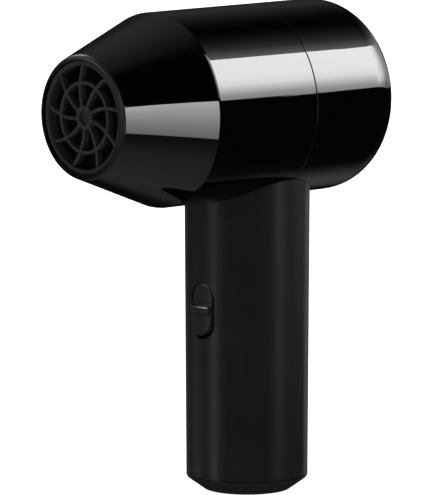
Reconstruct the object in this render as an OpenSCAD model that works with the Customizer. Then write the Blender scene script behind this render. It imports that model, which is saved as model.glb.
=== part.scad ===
// Cordless handheld air blower for drying cars.
// A turbine fan in a barrel blows out through a spiral grille in the nose;
// the round handle below holds two lithium cells, the driver board and a rocker switch.
// Millimetres. Origin at the centre of the base, +Z up, the nose points along -Y.

/* [Barrel] */
// Outside diameter of the barrel
barrel_d = 66; // [64:0.5:74]
// Outside diameter of the nose face
nose_d = 42.6; // [41:0.2:48]
// Length of the cone, from the nose face to the barrel's edge
cone_len = 32.8; // [26:0.4:38]
// Straight length of the front housing, from the cone to the seam
front_len = 44.4; // [42:0.2:46]
// Length of the rear housing, from the seam to the rear face
rear_len = 43.5; // [42:0.5:52]
// Radius that rounds the rear edge of the barrel
rear_round = 14.5; // [9:0.5:15]
// Radius that rounds the edge of the nose
nose_round = 2; // [0.8:0.1:2.4]
// Wall of both barrel housings
shell_wall = 2; // [1.6:0.1:2.6]
// Distance from the nose face back to the handle's axis
nose_reach = 75.6; // [74:0.2:78]
// Height of the neck, from the handle's deck to the underside of the barrel
neck_h = 8.6; // [7.6:0.2:16]

/* [Seam] */
// Width of the groove that shows between the two housings
seam_gap = 0.3; // [0.2:0.05:0.6]
// Length of the rear housing's lip inside the front housing
lip_len = 4.8; // [3:0.2:6]
// Thickness of that lip
lip_wall = 1; // [0.8:0.05:1.2]
// Height of the snap bead on the lip
bead_h = 0.25; // [0.15:0.05:0.35]

/* [Outlet grille] */
// Outside diameter of the outlet grille
outlet_d = 38; // [36:0.2:38.6]
// Width of its outer rim
outlet_rim = 1.6; // [1:0.1:2.4]
// Number of curved spokes
outlet_spokes = 9; // [7:1:12]
// Width of the spokes and the rings
spoke_w = 1.2; // [0.9:0.1:1.6]
// Radius that each spoke is bent to
spoke_bend = 20; // [16:1:30]
// Radius of the ring half way out
mid_ring_r = 11.7; // [9:0.1:13]
// Outside radius of the hub ring
hub_ring_r = 4; // [3:0.1:5]
// Depth of the spokes along the barrel
outlet_depth = 2.4; // [1.6:0.1:3]
// How far the grille sits behind the nose face
outlet_inset = 0.8; // [0.4:0.1:1.4]

/* [Intake grille] */
// Outside diameter of the intake grille
intake_d = 35.2; // [32:0.2:36]
// Number of straight spokes
intake_spokes = 12; // [8:2:16]
// Spacing of its rings
intake_pitch = 3.7; // [3.2:0.1:4.4]
// Spacing of the wires in the dust filter
mesh_pitch = 2.6; // [2.2:0.1:3.4]
// Thickness of a filter wire
mesh_wire = 0.5; // [0.4:0.05:0.7]

/* [Fan] */
// Bore of the fan duct
duct_bore = 43; // [41:0.5:45]
// Wall of the fan duct
duct_wall = 1.8; // [1.4:0.1:2.2]
// Gap between the blade tips and the duct
tip_gap = 0.5; // [0.3:0.05:0.8]
// Number of fan blades
fan_blades = 9; // [5:1:10]
// Number of fixed vanes behind the fan
stator_vane_count = 7; // [5:1:9]
// Thickness of a fan blade
blade_t = 1; // [0.8:0.1:1.4]
// Thickness of the rubber outside the duct's flanges
isolator_t = 2.75; // [2:0.05:4]
// Width of each rubber isolator
isolator_w = 6; // [5:0.2:7]

/* [Motor] */
// Outside diameter of the motor can
motor_d = 25; // [24:0.2:26]
// Length of the motor can
motor_len = 28; // [27:0.5:29]
// Diameter of the motor shaft
shaft_d = 3; // [2.5:0.1:3.4]
// Outside diameter of the ball bearings
bearing_d = 8; // [7:0.5:9]
// Outside diameter of the rotor magnet
magnet_d = 10.4; // [9:0.2:11]
// Length of the stator stack and the magnet
stack_len = 12; // [10:0.5:14]

/* [Handle] */
// Diameter of the handle where it meets the barrel
handle_top_d = 43; // [42:0.2:46]
// Diameter of the handle at the base
handle_base_d = 41.8; // [41.2:0.2:44]
// Bore of the handle
handle_bore = 38.4; // [38.2:0.1:39]
// Width of the bevel round the base
bevel_w = 6.2; // [3:0.2:6.6]
// Height of that bevel
bevel_h = 4.4; // [3:0.2:5]
// Radius that rounds the top of the bevel
bevel_round = 1.5; // [0.6:0.1:1.5]
// Thickness of the base cap's floor
cap_floor = 2.2; // [1.8:0.1:3]
// How far the base cap's spigot reaches into the handle
spigot_h = 6; // [4:0.2:6.6]
// Thickness of the deck that closes the handle's top
deck_t = 2.4; // [2:0.1:3]
// Half the spacing of the neck screws across the handle
neck_screw_x = 9; // [8:0.2:10]
// Half the spacing of the neck screws along the barrel
neck_screw_y = 10; // [9:0.2:10.6]

/* [Switch] */
// Height of the switch's centre above the base
switch_h = 63.5; // [58:0.5:65]
// Width of the opening for the rocker
rocker_hole_w = 11.2; // [10.8:0.1:12]
// Height of the opening for the rocker
rocker_hole_h = 19.2; // [18.8:0.1:22]
// Gap round the rocker at mid travel
rocker_gap = 0.75; // [0.7:0.05:1]
// How far the rocker stands out of the handle
rocker_proud = 0.6; // [0.4:0.1:1]
// Height of the thumb ridge across the rocker
ridge_h = 3.2; // [2:0.2:4]
// How far the thumb ridge stands out of the rocker
ridge_out = 1.2; // [0.6:0.1:1.6]
// Angle that the rocker turns from one stop to the other
rocker_throw = 13; // [8:1:14]

/* [Battery] */
// Diameter of a cell
cell_d = 18.4; // [18:0.1:18.5]
// Length of a cell
cell_len = 65.2; // [64:0.2:66]
// Half the distance between the two cells
cell_x = 9.35; // [9.3:0.05:9.5]
// How far the cells sit behind the handle's axis
cell_back = 3; // [2.4:0.1:3]
// Thickness of the foam pad between the battery and the deck
pad_t = 2.4; // [1.6:0.1:4]
// Thickness of the circuit boards
board_t = 1.2; // [1:0.1:1.6]

/* [Hidden] */
$fn = 96;

// Clearances: moulded seats, loose openings, pieces that rest on each other,
// pressed and threaded seats, and running fits
fit = 0.05;
loose = 0.15;
rest_gap = 0.1;
tight = 0.02;
run = 0.03;
// How far joined shapes bite into each other, and how far a cut runs past a face
bite = 0.4;
past = 1;

gloss_black = "#0c0c0d";
satin_black = "#1b1b1d";
matte_black = "#242426";
rubber_black = "#151515";
steel = "#b9bcc0";
copper = "#b06a35";

// Screws: pan heads with a cross recess
screw_r = 1.1;
screw_tip_r = 0.3;
screw_clear = 0.3;
head_r = 2.2;
head_h = 1.6;
recess_len = 2.6;
recess_w = 0.6;
recess_depth = 0.8;
head_sink = 0.7;
pilot_spare = 0.8;

// Foot: z is height above the base
handle_base_r = handle_base_d / 2;
handle_bore_r = handle_bore / 2;
foot_band = 0.8;
foot_wall = 1.4;
split_h = bevel_h + foot_band;
split_gap = 0.15;
spigot_r = handle_bore_r - fit;
spigot_wall = 1.8;
cap_top = split_h + spigot_h;
base_screw_y = 11;
base_screw_len = 15;
base_post_r = 3.2;
base_boss_r = 2.8;
base_boss_h = 7.5;
base_boss_z = cap_top + bite;
base_boss_top = base_boss_z + base_boss_h;
boss_web_t = 2.4;

// Charging board and socket
charge_drop = 2.2;
charge_board_z = base_boss_z - charge_drop;
charge_board_w = 25;
charge_board_d = 15.2;
charge_post_x = 10.5;
charge_post_y = 5.6;
charge_post_r = 1.5;
charge_pin_r = 0.85;
charge_pin_proud = 0.5;
charge_chip = [4, 5, 0.9];
charge_coil = [5, 5, 2];
charge_lamp = [1.6, 1, 0.6];
socket_w = 8.94;
socket_h = 3.26;
socket_mouth = 0.5;
socket_wall = 0.35;
socket_back = 0.6;
socket_y = 3.6;
tongue_w = 6.6;
tongue_t = 0.7;
tongue_inset = 1.2;
pipe_x = 8.2;
pipe_r = 1.1;
pipe_mouth = 0.2;

// Battery and its holders
cell_r = cell_d / 2;
cell_button_r = 3.6;
cell_button_h = 1;
cell_groove_r = 0.9;
cell_groove_out = 0.3;
cell_groove_drop = 4.6;
tab_t = 0.3;
tab_w = 5;
tab_reach = 3.5;
tab_rise = 10;
link_w = 8;
link_over = 3;
holder_floor = 1;
holder_roof = 1.6;
holder_clear = 0.3;
holder_r = handle_bore_r - holder_clear;
holder_open_x = 13.5;
holder_side_d = 15;
holder_middle = [5, 8];
pocket_depth = 4.6;
holder_z = base_boss_top + rest_gap;
cell_z = holder_z + holder_floor + tab_t;
cell_top = cell_z + cell_len;
upper_holder_z = cell_top - pocket_depth;
upper_holder_top = cell_top + tab_t + holder_roof;
pad_w = 10;
pad_d = 18;
pad_front = -4;

// Control board, in front of the cells
board_clear = 1.2;
board_back = cell_back - cell_r - board_clear;
board_front = board_back - board_t;
board_w = 31;
board_slot = 0.1;
board_lift = 4.4;
board_z = holder_z + board_lift;
board_in = 3;
board_top = upper_holder_z + board_in;
holder_lip = 2.4;
holder_front = board_front - holder_lip;

// Handle and its deck, above the battery
handle_top_r = handle_top_d / 2;
deck_h = upper_holder_top + pad_t;
deck_top = deck_h + deck_t;
barrel_r = barrel_d / 2;
axis_h = deck_top + neck_h + barrel_r;
saddle_rise = 3;
handle_top_h = axis_h - sqrt(barrel_r * barrel_r - handle_top_r * handle_top_r) + saddle_rise;
neck_gap = 0.1;
neck_screw_len = 8;
neck_boss_r = 3;

// Wires from the board to the motor
wire_y = -11;
wire_hole_r = 3.6;
wire_lead = 1.2;
wire_run_y = wire_y - wire_lead;
wire_pitch = 1.6;
wire_r = 0.7;
wire_sides = 8;
charge_wire_x = 6;
charge_wire_r = 0.6;
charge_wire_up = 5;

// Barrel: z runs back from the nose face, in the barrel's own frame
bore_r = barrel_r - shell_wall;
nose_r = nose_d / 2;
seam_z = cone_len + front_len;
rear_z = seam_z + rear_len;
front_end = seam_z - seam_gap / 2;
rear_start = seam_z + seam_gap / 2;
rear_inner_round = rear_round - shell_wall;
lip_r = bore_r + lip_wall;
lip_start = seam_z - lip_len;
bead_r = 2 * bead_h;
bead_inset = 1.44;
bead_z = lip_start + bead_inset;

// Outlet grille and its seat
outlet_r = outlet_d / 2;
outlet_seat_r = outlet_r + fit;
outlet_turn = 28.5;
outlet_face_t = 0.5;
outlet_spoke_z = outlet_inset + outlet_face_t;
outlet_spoke_end = outlet_spoke_z + outlet_depth;
outlet_back_t = 0.3;
outlet_back = outlet_spoke_end + outlet_back_t;
outlet_ledge_t = 1.2;
outlet_ledge_w = 0.9;
hub_ring_w = 1.5;
hub_disc_t = 1.2;
hub_start_r = hub_ring_r - spoke_w / 2;

// Where the cone leaves the rounding of the nose
nose_centre = [nose_r - nose_round, nose_round];
nose_to_edge = [barrel_r, cone_len] - nose_centre;
nose_normal = atan2(nose_to_edge[1], nose_to_edge[0]) - acos(nose_round / norm(nose_to_edge));
nose_tangent = nose_centre + nose_round * [cos(nose_normal), sin(nose_normal)];

// The inside of the cone, a wall's thickness from the outside
cone_slope = (barrel_r - nose_tangent[0]) / (cone_len - nose_tangent[1]);
cone_wall_r = shell_wall * sqrt(1 + cone_slope * cone_slope);
cone_in_z = outlet_back + outlet_ledge_t;
cone_in_r = nose_tangent[0] + cone_slope * (cone_in_z - nose_tangent[1]) - cone_wall_r;
cone_in_end = nose_tangent[1] + (bore_r + cone_wall_r - nose_tangent[0]) / cone_slope;

// Intake grille, its seat and the dust filter in front of it
intake_r = intake_d / 2;
intake_seat_r = intake_r + fit;
intake_seat_wall = 1.6;
intake_t = 2.2;
intake_spoke_t = 1.8;
intake_rim = 1.8;
intake_hub_r = 2.6;
intake_ring_start = 2;
intake_inset = 0.4;
intake_front = rear_z - intake_t - intake_inset;
intake_ledge_t = 1.2;
intake_ledge_w = 1.6;
filter_r = intake_r - intake_ledge_w - fit;
filter_rim = 1.8;
filter_t = 1.4;
filter_ledge_w = 1.2;
filter_back = intake_front - fit - filter_t;
mesh_inset = 0.4;

// Fan duct and its isolators, placed from the handle's axis
duct_r = duct_bore / 2;
duct_out_r = duct_r + duct_wall;
duct_ahead = 30;
duct_start = nose_reach - duct_ahead;
duct_len = 56.8;
duct_end = duct_start + duct_len;
bell_r = 3;
isolator_out_r = bore_r - fit;
flange_r = isolator_out_r - isolator_t;
flange_t = 2.4;
flange_inset = 2;
front_flange_z = duct_start + flange_inset;
rear_flange_z = duct_end - flange_t;
isolator_side = (isolator_w - flange_t) / 2;
isolator_grip = 1.4;
isolator_in_r = flange_r - isolator_grip;
stop_t = 1.5;
stop_gap = 0.6;
stop_r = flange_r + stop_gap;

// Motor
motor_r = motor_d / 2;
can_wall = 1.1;
can_bore_r = motor_r - can_wall;
motor_inset = 10.4;
motor_start = duct_start + motor_inset;
motor_end = motor_start + motor_len;
cap_t = 3;
bearing_r = bearing_d / 2;
bearing_w = 4;
bearing_wall = 0.6;
bearing_race = 0.9;
bearing_step = 0.3;
bearing_front_z = motor_start + bearing_wall;
bearing_rear_z = motor_end - bearing_wall - bearing_w;
bearing_boss_t = 1.4;
bearing_boss_r = bearing_r + bearing_boss_t;
bearing_boss_len = bearing_w + 2 * bearing_wall;
vent_r = 1.4;
vent_count = 6;
vent_ring_r = (bearing_boss_r + can_bore_r) / 2;
shaft_r = shaft_d / 2;
shaft_clear = 0.7;
magnet_r = magnet_d / 2;
stack_z = (motor_start + motor_end - stack_len) / 2;
teeth = 6;
tooth_w = 2.4;
tooth_tip_w = 4.3;
tooth_tip_t = 1;
air_gap = 0.5;
tooth_in_r = magnet_r + air_gap;
yoke_t = 1.7;
coil_t = 1.3;
coil_gap = 0.5;

// Impeller and its nut
fan_gap = 2.5;
fan_start = motor_end + fan_gap;
fan_len = 10;
fan_step = 0.2;
fan_bend = 13;
fan_stagger = -42;
fan_root = 3;
fan_hub_r = 11.5;
fan_hub_len = 11;
fan_hub_round = 6;
fan_hub_wall = 1.8;
fan_boss_r = 3.4;
fan_hub_end = fan_start + fan_hub_len;
nut_r = 2.9;
nut_h = 3;
nut_flange_r = 3.2;
nut_flange_t = 0.8;
shaft_inset = 0.2;
shaft_start = bearing_front_z + shaft_inset;
shaft_tip = 1;
shaft_end = fan_hub_end + nut_h + shaft_tip;

// Fixed vanes, the motor's sleeve and the tail cone
sleeve_wall = 1.3;
sleeve_r = motor_r + sleeve_wall;
sleeve_lead = 2;
sleeve_front = motor_start - sleeve_lead;
vane_ring_t = 1.2;
vane_t = 1.4;
vane_bend = 16;
vane_stagger = 20;
vane_chord = 14;
vane_start = motor_start;
vane_len = 18;
strut_bore_r = 2.7;
strut_wall = 1.1;
strut_r = strut_bore_r + strut_wall;
strut_sink = 0.9;
tail_len = 18;
tail_tip_r = 3;
tail_solid = 6;
tail_band = 2.2;
tail_wall = 2.4;

// Switch housing, which stands on the control board and reaches the handle's bore
housing_w = 12.2;
housing_h = 20.4;
housing_wall = 1.2;
housing_front = rest_gap - sqrt(handle_bore_r * handle_bore_r - housing_w * housing_w / 4);
housing_back = board_front - rest_gap;
housing_floor_y = housing_back - housing_wall;

// Rocker, drawn with its upper end pressed in
rocker_tilt = -rocker_throw / 2;
rocker_w = rocker_hole_w - 2 * rocker_gap;
rocker_h = rocker_hole_h - 2 * rocker_gap;
rocker_wall = 1.2;
ridge_end = 0.3;
trunnion_r = 0.9;
trunnion_gap = 0.04;
trunnion_end = 0.2;
trunnion_inset = 0.7;
rocker_pivot_y = housing_front + trunnion_r + trunnion_inset;
plate_clear = 0.25;
rocker_plate_y = housing_front - plate_clear - sin(rocker_throw / 2) * rocker_h / 2;
skirt_reach = 1.9;
rocker_skirt_y = rocker_pivot_y + skirt_reach;
skirt_gap = 0.7;
rocker_skirt_w = housing_w - 2 * (housing_wall + skirt_gap);
rocker_skirt_h = 13.2;
rocker_skin_r = handle_base_r + rocker_proud + (handle_top_r - handle_base_r)
    * (switch_h - split_h) / (handle_top_h - split_h);

// Contact lever on its rounded rib, and the terminals it tilts between
lever_ratio = 1.08;
lever_tilt = lever_ratio * rocker_throw / 2;
lever_t = 0.5;
lever_w = 3.4;
lever_h = 11;
lever_rib_r = 0.3;
lever_clear = 1.1;
lever_pivot_y = housing_floor_y - lever_clear;
contact_gap = 0.06;
terminal_w = 1.6;
terminal_h = 0.6;
terminal_pitch = 5;
terminal_tail = 0.6;
terminal_z = [-terminal_pitch, 0, terminal_pitch];
end_contact_y = lever_pivot_y + cos(lever_tilt) * lever_t / 2
    + sin(lever_tilt) * (terminal_pitch + terminal_h / 2) + contact_gap;
pivot_contact_y = lever_pivot_y + lever_rib_r + contact_gap;

// Spring plunger in the rocker's tube
plunger_r = 1.2;
plunger_len = 2.3;
plunger_tip_y = lever_pivot_y - lever_t / 2 - loose;
plunger_y = plunger_tip_y - plunger_r;
plunger_tube_r = 2;
plunger_show = 0.8;
plunger_tube_y = plunger_y - plunger_show;
plunger_play = 0.25;
spring_wire_r = 0.15;
spring_slack = 0.1;
spring_coil_r = plunger_r - spring_wire_r - spring_slack;
spring_turns = 5;
spring_steps = 12;
spring_sides = 6;
spring_seat = 0.6;
spring_front_y = rocker_plate_y + spring_seat;
spring_back_y = plunger_y - plunger_len - plunger_play - fit;

// Small parts on the control board, with how far each stands up it
transistor = [5, 1, 6];
transistor_gap = 0.9;
transistor_x = 0.5;
transistor_up = 9;
chip_w = 6.4;
chip_x = 10;
chip_up = 16;
chip_legs = 8;
leg_pitch = 0.76;
leg_w = 0.3;
leg_t = 0.4;
leg_out = 0.7;
capacitor_r = 3.15;
capacitor_len = 5.2;
capacitor_x = 9.6;
capacitor_up = 31;
capacitor_bead_r = 0.55;
capacitor_bead_z = 1.2;
capacitor_rim = 0.7;
capacitor_dish = 0.2;

// Places

module on_barrel() {
    translate([0, -nose_reach, axis_h]) rotate([-90, 0, 0]) children();
}

module at_switch() {
    translate([0, 0, switch_h]) children();
}

module rocked() {
    at_switch() translate([0, rocker_pivot_y, 0]) rotate([rocker_tilt, 0, 0])
        translate([0, -rocker_pivot_y, 0]) children();
}

// Shared shapes

module tube(outer, inner, from, to) {
    translate([0, 0, from]) difference() {
        cylinder(r = outer, h = to - from);
        translate([0, 0, -past]) cylinder(r = inner, h = to - from + 2 * past);
    }
}

module disc(r, from, to) {
    translate([0, 0, from]) cylinder(r = r, h = to - from);
}

// A ring of rectangular section, as a profile to spin
module band_2d(inner, outer, from, to) {
    translate([inner, from]) square([outer - inner, to - from]);
}

// A stadium standing on end in the plane of the handle's front, pushed back along +Y
module stadium(w, h, from, to) {
    translate([0, to, 0]) rotate([90, 0, 0]) linear_extrude(to - from) union() {
        square([w, h - w], center = true);
        translate([0, (h - w) / 2]) circle(w / 2);
        translate([0, (w - h) / 2]) circle(w / 2);
    }
}

// A pan-head screw with its seat at z 0 and its thread along +Z
module pan_screw(length) {
    difference() {
        union() {
            translate([0, 0, -head_h]) cylinder(r = head_r, h = head_h);
            cylinder(r = screw_r, h = length - screw_r);
            translate([0, 0, length - screw_r])
                cylinder(r1 = screw_r, r2 = screw_tip_r, h = screw_r);
        }
        for (turn = [0, 90])
            rotate([0, 0, turn]) translate([0, 0, -head_h])
                cube([recess_len, recess_w, 2 * recess_depth], center = true);
    }
}

// Points of a round tube swept along a path that is never parallel to side,
// one ring of points for each point of the path
function unit(v) = v / norm(v);
function tangent(path, i) = unit(
    path[min(i + 1, len(path) - 1)] - path[max(i - 1, 0)]);
function tube_points(path, r, sides, side) = [
    for (i = [0 : len(path) - 1])
        let (t = tangent(path, i), u = unit(cross(t, side)), v = cross(t, u))
            for (k = [0 : sides - 1])
                path[i] + r * cos(360 * k / sides) * u + r * sin(360 * k / sides) * v];
function tube_faces(rings, sides) = concat(
    [[for (k = [0 : sides - 1]) k]],
    [for (i = [0 : rings - 2]) for (k = [0 : sides - 1])
        let (a = i * sides + k, b = i * sides + (k + 1) % sides)
            [a, a + sides, b]],
    [for (i = [0 : rings - 2]) for (k = [0 : sides - 1])
        let (a = i * sides + k, b = i * sides + (k + 1) % sides)
            [b, a + sides, b + sides]],
    [[for (k = [0 : sides - 1]) rings * sides - 1 - k]]);
// A smooth run through hand-chosen points, four steps for each span
function curve_at(p, i, f) =
    let (a = p[max(i - 1, 0)], b = p[i], c = p[min(i + 1, len(p) - 1)], d = p[min(i + 2, len(p) - 1)])
        0.5 * ((2 * b) + (c - a) * f + (2 * a - 5 * b + 4 * c - d) * f * f
            + (3 * b - a - 3 * c + d) * f * f * f);
function smooth(p, steps = 4) = concat(
    [for (i = [0 : len(p) - 2]) for (s = [0 : steps - 1]) curve_at(p, i, s / steps)],
    [p[len(p) - 1]]);

module sweep(path, r, sides, side) {
    polyhedron(points = tube_points(path, r, sides, side), faces = tube_faces(len(path), sides),
        convexity = 6);
}

// A wire whose route stays in a plane square to X
module wire(route, r) {
    sweep(smooth(route), r, wire_sides, [1, 0, 0]);
}

// Barrel housings

module front_profile() {
    difference() {
        union() {
            polygon([[0, 0], [nose_centre[0], 0], nose_centre, nose_tangent,
                [barrel_r, cone_len], [barrel_r, front_end], [0, front_end]]);
            translate(nose_centre) circle(nose_round);
        }
        // Seat of the grille, the ledge behind it, the cone and the bore
        band_2d(-past, outlet_seat_r, -past, outlet_back + fit);
        band_2d(-past, outlet_seat_r - outlet_ledge_w, 0, rear_z);
        polygon([[0, cone_in_z], [cone_in_r, cone_in_z], [bore_r, cone_in_end],
            [bore_r, rear_z], [0, rear_z]]);
        // Rebate for the rear housing's lip, with a groove for its snap bead
        band_2d(0, lip_r + fit, lip_start - loose, rear_z);
        translate([lip_r - bead_h, bead_z]) circle(bead_r + fit);
    }
}

module rear_profile() {
    difference() {
        union() {
            square([barrel_r, rear_z - rear_round]);
            square([barrel_r - rear_round, rear_z]);
            intersection() {
                translate([barrel_r - rear_round, rear_z - rear_round]) circle(rear_round);
                square([barrel_r, rear_z]);
            }
        }
        // Everything in front of the seam, apart from the lip
        band_2d(lip_r, barrel_r + past, -past, rear_start);
        band_2d(-past, barrel_r + past, -past, lip_start);
        // The hollow, with its own rounding
        difference() {
            union() {
                band_2d(-past, bore_r, -past, rear_z - rear_round);
                band_2d(-past, bore_r - rear_inner_round, -past, rear_z - shell_wall);
                intersection() {
                    translate([barrel_r - rear_round, rear_z - rear_round])
                        circle(rear_inner_round);
                    square([bore_r, rear_z]);
                }
            }
            // The ring that holds the intake grille and its filter
            band_2d(0, intake_seat_r + intake_seat_wall, filter_back - fit - intake_ledge_t, rear_z);
        }
        // Seat of the grille, seat of the filter and the way through
        band_2d(-past, intake_seat_r, intake_front - fit, rear_z + past);
        band_2d(-past, filter_r + fit, filter_back - fit, rear_z);
        band_2d(-past, filter_r - filter_ledge_w, seam_z, rear_z);
    }
    // The snap bead on the lip
    intersection() {
        translate([lip_r - bead_h, bead_z]) circle(bead_r);
        square([lip_r + bead_h, rear_z]);
    }
}

// A boss hanging from the barrel to the handle's deck, for one neck screw
module neck_boss(x, y) {
    difference() {
        translate([x, y, deck_top + fit]) cylinder(r = neck_boss_r, h = axis_h - deck_top);
        on_barrel() disc(bore_r + shell_wall / 2, -past, rear_z);
    }
}

module neck_pilot(x, y) {
    translate([x, y, deck_h]) cylinder(r = screw_r + tight, h = neck_screw_len + pilot_spare);
}

module front_housing() {
    color(gloss_black) difference() {
        union() {
            on_barrel() rotate_extrude() front_profile();
            on_barrel() tube(bore_r + bite, stop_r, front_flange_z - isolator_side - stop_t - fit,
                front_flange_z - isolator_side - fit);
            for (x = [-neck_screw_x, neck_screw_x]) neck_boss(x, -neck_screw_y);
        }
        for (x = [-neck_screw_x, neck_screw_x]) neck_pilot(x, -neck_screw_y);
        translate([0, wire_y, deck_top])
            cylinder(r = wire_hole_r, h = axis_h - deck_top - duct_out_r);
    }
}

module rear_housing() {
    color(gloss_black) difference() {
        union() {
            on_barrel() rotate_extrude() rear_profile();
            on_barrel() tube(bore_r + bite, stop_r, duct_end + isolator_side + fit,
                duct_end + isolator_side + fit + stop_t);
            for (x = [-neck_screw_x, neck_screw_x]) neck_boss(x, neck_screw_y);
        }
        for (x = [-neck_screw_x, neck_screw_x]) neck_pilot(x, neck_screw_y);
    }
}

// Grilles and filter

// One spoke that leaves the hub ring square and bends to one side
module curved_spoke_2d(inner, outer) {
    intersection() {
        translate([inner, spoke_bend]) difference() {
            circle(spoke_bend + spoke_w / 2);
            circle(spoke_bend - spoke_w / 2);
        }
        difference() {
            circle(outer);
            circle(inner - spoke_w / 2);
        }
        square([outer, outer]);
    }
}

module outlet_grille() {
    color(satin_black) on_barrel() {
        translate([0, 0, outlet_spoke_z]) linear_extrude(outlet_depth) union() {
            for (k = [0 : outlet_spokes - 1])
                rotate([0, 0, -outlet_turn + 360 * k / outlet_spokes]) {
                    curved_spoke_2d(hub_start_r, outlet_r - outlet_rim / 2);
                    translate([hub_start_r - spoke_w / 2, -spoke_w / 2]) square([spoke_w, spoke_w]);
                }
            difference() {
                circle(mid_ring_r + spoke_w / 2);
                circle(mid_ring_r - spoke_w / 2);
            }
            difference() {
                circle(hub_ring_r);
                circle(hub_ring_r - hub_ring_w);
            }
        }
        tube(outlet_r, outlet_r - outlet_rim, outlet_inset, outlet_back);
        disc(hub_ring_r - hub_ring_w / 2, outlet_spoke_end - hub_disc_t, outlet_spoke_end);
    }
}

module intake_grille() {
    rings = floor((intake_r - intake_rim - intake_ring_start) / intake_pitch);
    color(satin_black) on_barrel() translate([0, 0, intake_front]) {
        linear_extrude(intake_t) difference() {
            circle(intake_r);
            circle(intake_r - intake_rim);
        }
        linear_extrude(intake_spoke_t) union() {
            circle(intake_hub_r);
            for (k = [1 : rings]) difference() {
                circle(intake_ring_start + k * intake_pitch + spoke_w / 2);
                circle(intake_ring_start + k * intake_pitch - spoke_w / 2);
            }
            // Every other spoke starts at the first ring
            for (k = [0 : intake_spokes - 1]) {
                from = k % 2 == 0 ? intake_hub_r - spoke_w : intake_ring_start + intake_pitch;
                rotate([0, 0, 360 * k / intake_spokes]) translate([from, -spoke_w / 2])
                    square([intake_r - intake_rim / 2 - from, spoke_w]);
            }
        }
    }
}

module intake_filter() {
    count = floor(filter_r / mesh_pitch);
    color("#3a3c3e") on_barrel() translate([0, 0, filter_back]) {
        tube(filter_r, filter_r - filter_rim, 0, filter_t);
        intersection() {
            disc(filter_r - filter_rim / 2, 0, filter_t);
            union() for (k = [-count : count]) {
                translate([k * mesh_pitch - mesh_wire / 2, -filter_r, mesh_inset])
                    cube([mesh_wire, 2 * filter_r, mesh_wire]);
                translate([-filter_r, k * mesh_pitch - mesh_wire / 2, mesh_inset])
                    cube([2 * filter_r, mesh_wire, mesh_wire]);
            }
        }
    }
}

// Fan unit

module fan_duct() {
    color(matte_black) difference() {
        on_barrel() rotate_extrude() difference() {
            union() {
                band_2d(duct_r, duct_out_r, duct_start, duct_end);
                band_2d(duct_r, flange_r, front_flange_z, front_flange_z + flange_t);
                band_2d(duct_r, flange_r, rear_flange_z, duct_end);
            }
            // Bell mouth
            difference() {
                band_2d(duct_r - past, duct_r + bell_r, duct_end - bell_r, duct_end + past);
                translate([duct_r + bell_r, duct_end - bell_r]) circle(bell_r);
            }
        }
        translate([0, wire_y, axis_h - flange_r])
            cylinder(r = wire_hole_r, h = flange_r - duct_r + wire_hole_r);
    }
}

module isolator(flange_z) {
    start = flange_z - isolator_side;
    color(rubber_black) on_barrel() difference() {
        tube(isolator_out_r, isolator_in_r, start, start + isolator_w);
        disc(flange_r + fit, flange_z - fit, flange_z + flange_t + fit);
    }
}

module front_isolator() {
    isolator(front_flange_z);
}

module rear_isolator() {
    isolator(rear_flange_z);
}

// A blade section: an arc strip in the plane of axial and tangential directions
module blade_2d(bend, thick, length, stagger) {
    rotate([0, 0, stagger]) intersection() {
        translate([0, -bend]) difference() {
            circle(bend + thick / 2);
            circle(bend - thick / 2);
        }
        square([length, bend], center = true);
    }
}

// One blade stood on the hub and run out along its radius
module blade(from, to, bend, thick, length, stagger) {
    translate([from, 0, 0]) rotate([0, 90, 0])
        linear_extrude(to - from) blade_2d(bend, thick, length, stagger);
}

module stator_vanes() {
    outer = duct_r - fit;
    color(matte_black) difference() {
        union() {
            on_barrel() {
                tube(outer, outer - vane_ring_t, vane_start, vane_start + vane_len);
                tube(sleeve_r, motor_r + fit, sleeve_front, motor_end);
                intersection() {
                    union() for (k = [0 : stator_vane_count - 1])
                        rotate([0, 0, 90 + 360 * (k + 0.5) / stator_vane_count])
                            translate([0, 0, vane_start + vane_len / 2])
                                blade(sleeve_r - sleeve_wall, outer, vane_bend, vane_t, vane_chord,
                                    vane_stagger);
                    tube(outer - vane_ring_t / 2, sleeve_r - sleeve_wall / 2, vane_start,
                        vane_start + vane_len);
                }
            }
            // Hollow strut that carries the wires to the motor
            translate([0, wire_y, axis_h - outer + vane_ring_t / 2])
                cylinder(r = strut_r, h = outer - vane_ring_t / 2 - sleeve_r + strut_sink);
        }
        translate([0, wire_y, axis_h - duct_r - past])
            cylinder(r = strut_bore_r, h = duct_r + past - can_bore_r);
        on_barrel() disc(motor_r + fit, sleeve_front - past, motor_end + past);
    }
}

module tail_cone() {
    start = motor_start - tail_len;
    color(matte_black) on_barrel() difference() {
        union() {
            translate([0, 0, start + tail_tip_r]) sphere(r = tail_tip_r);
            translate([0, 0, start + tail_tip_r]) cylinder(r1 = tail_tip_r, r2 = motor_r - fit,
                h = tail_len - tail_tip_r - tail_band);
            disc(motor_r - fit, motor_start - tail_band, motor_start - fit);
        }
        translate([0, 0, start + tail_solid]) cylinder(r1 = 0.8 * tail_tip_r,
            r2 = motor_r - tail_wall, h = tail_len - tail_solid);
    }
}

module motor_can() {
    color("#8c8f94") difference() {
        on_barrel() tube(motor_r, can_bore_r, motor_start, motor_end);
        translate([0, wire_y, axis_h - motor_r - past]) cylinder(r = strut_bore_r, h = motor_r);
    }
}

// A disc in the end of the can with a boss that holds a bearing
module motor_cap(disc_from, boss_from, pocket_from) {
    difference() {
        union() {
            disc(can_bore_r - fit, disc_from, disc_from + cap_t);
            disc(bearing_boss_r, boss_from, boss_from + bearing_boss_len);
        }
        disc(bearing_r + tight, pocket_from, pocket_from + bearing_w);
        disc(shaft_r + shaft_clear, motor_start - past, motor_end + past);
        for (k = [0 : vent_count - 1]) rotate([0, 0, 360 * (k + 0.5) / vent_count])
            translate([vent_ring_r, 0, 0]) disc(vent_r, motor_start - past, motor_end + past);
    }
}

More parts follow.
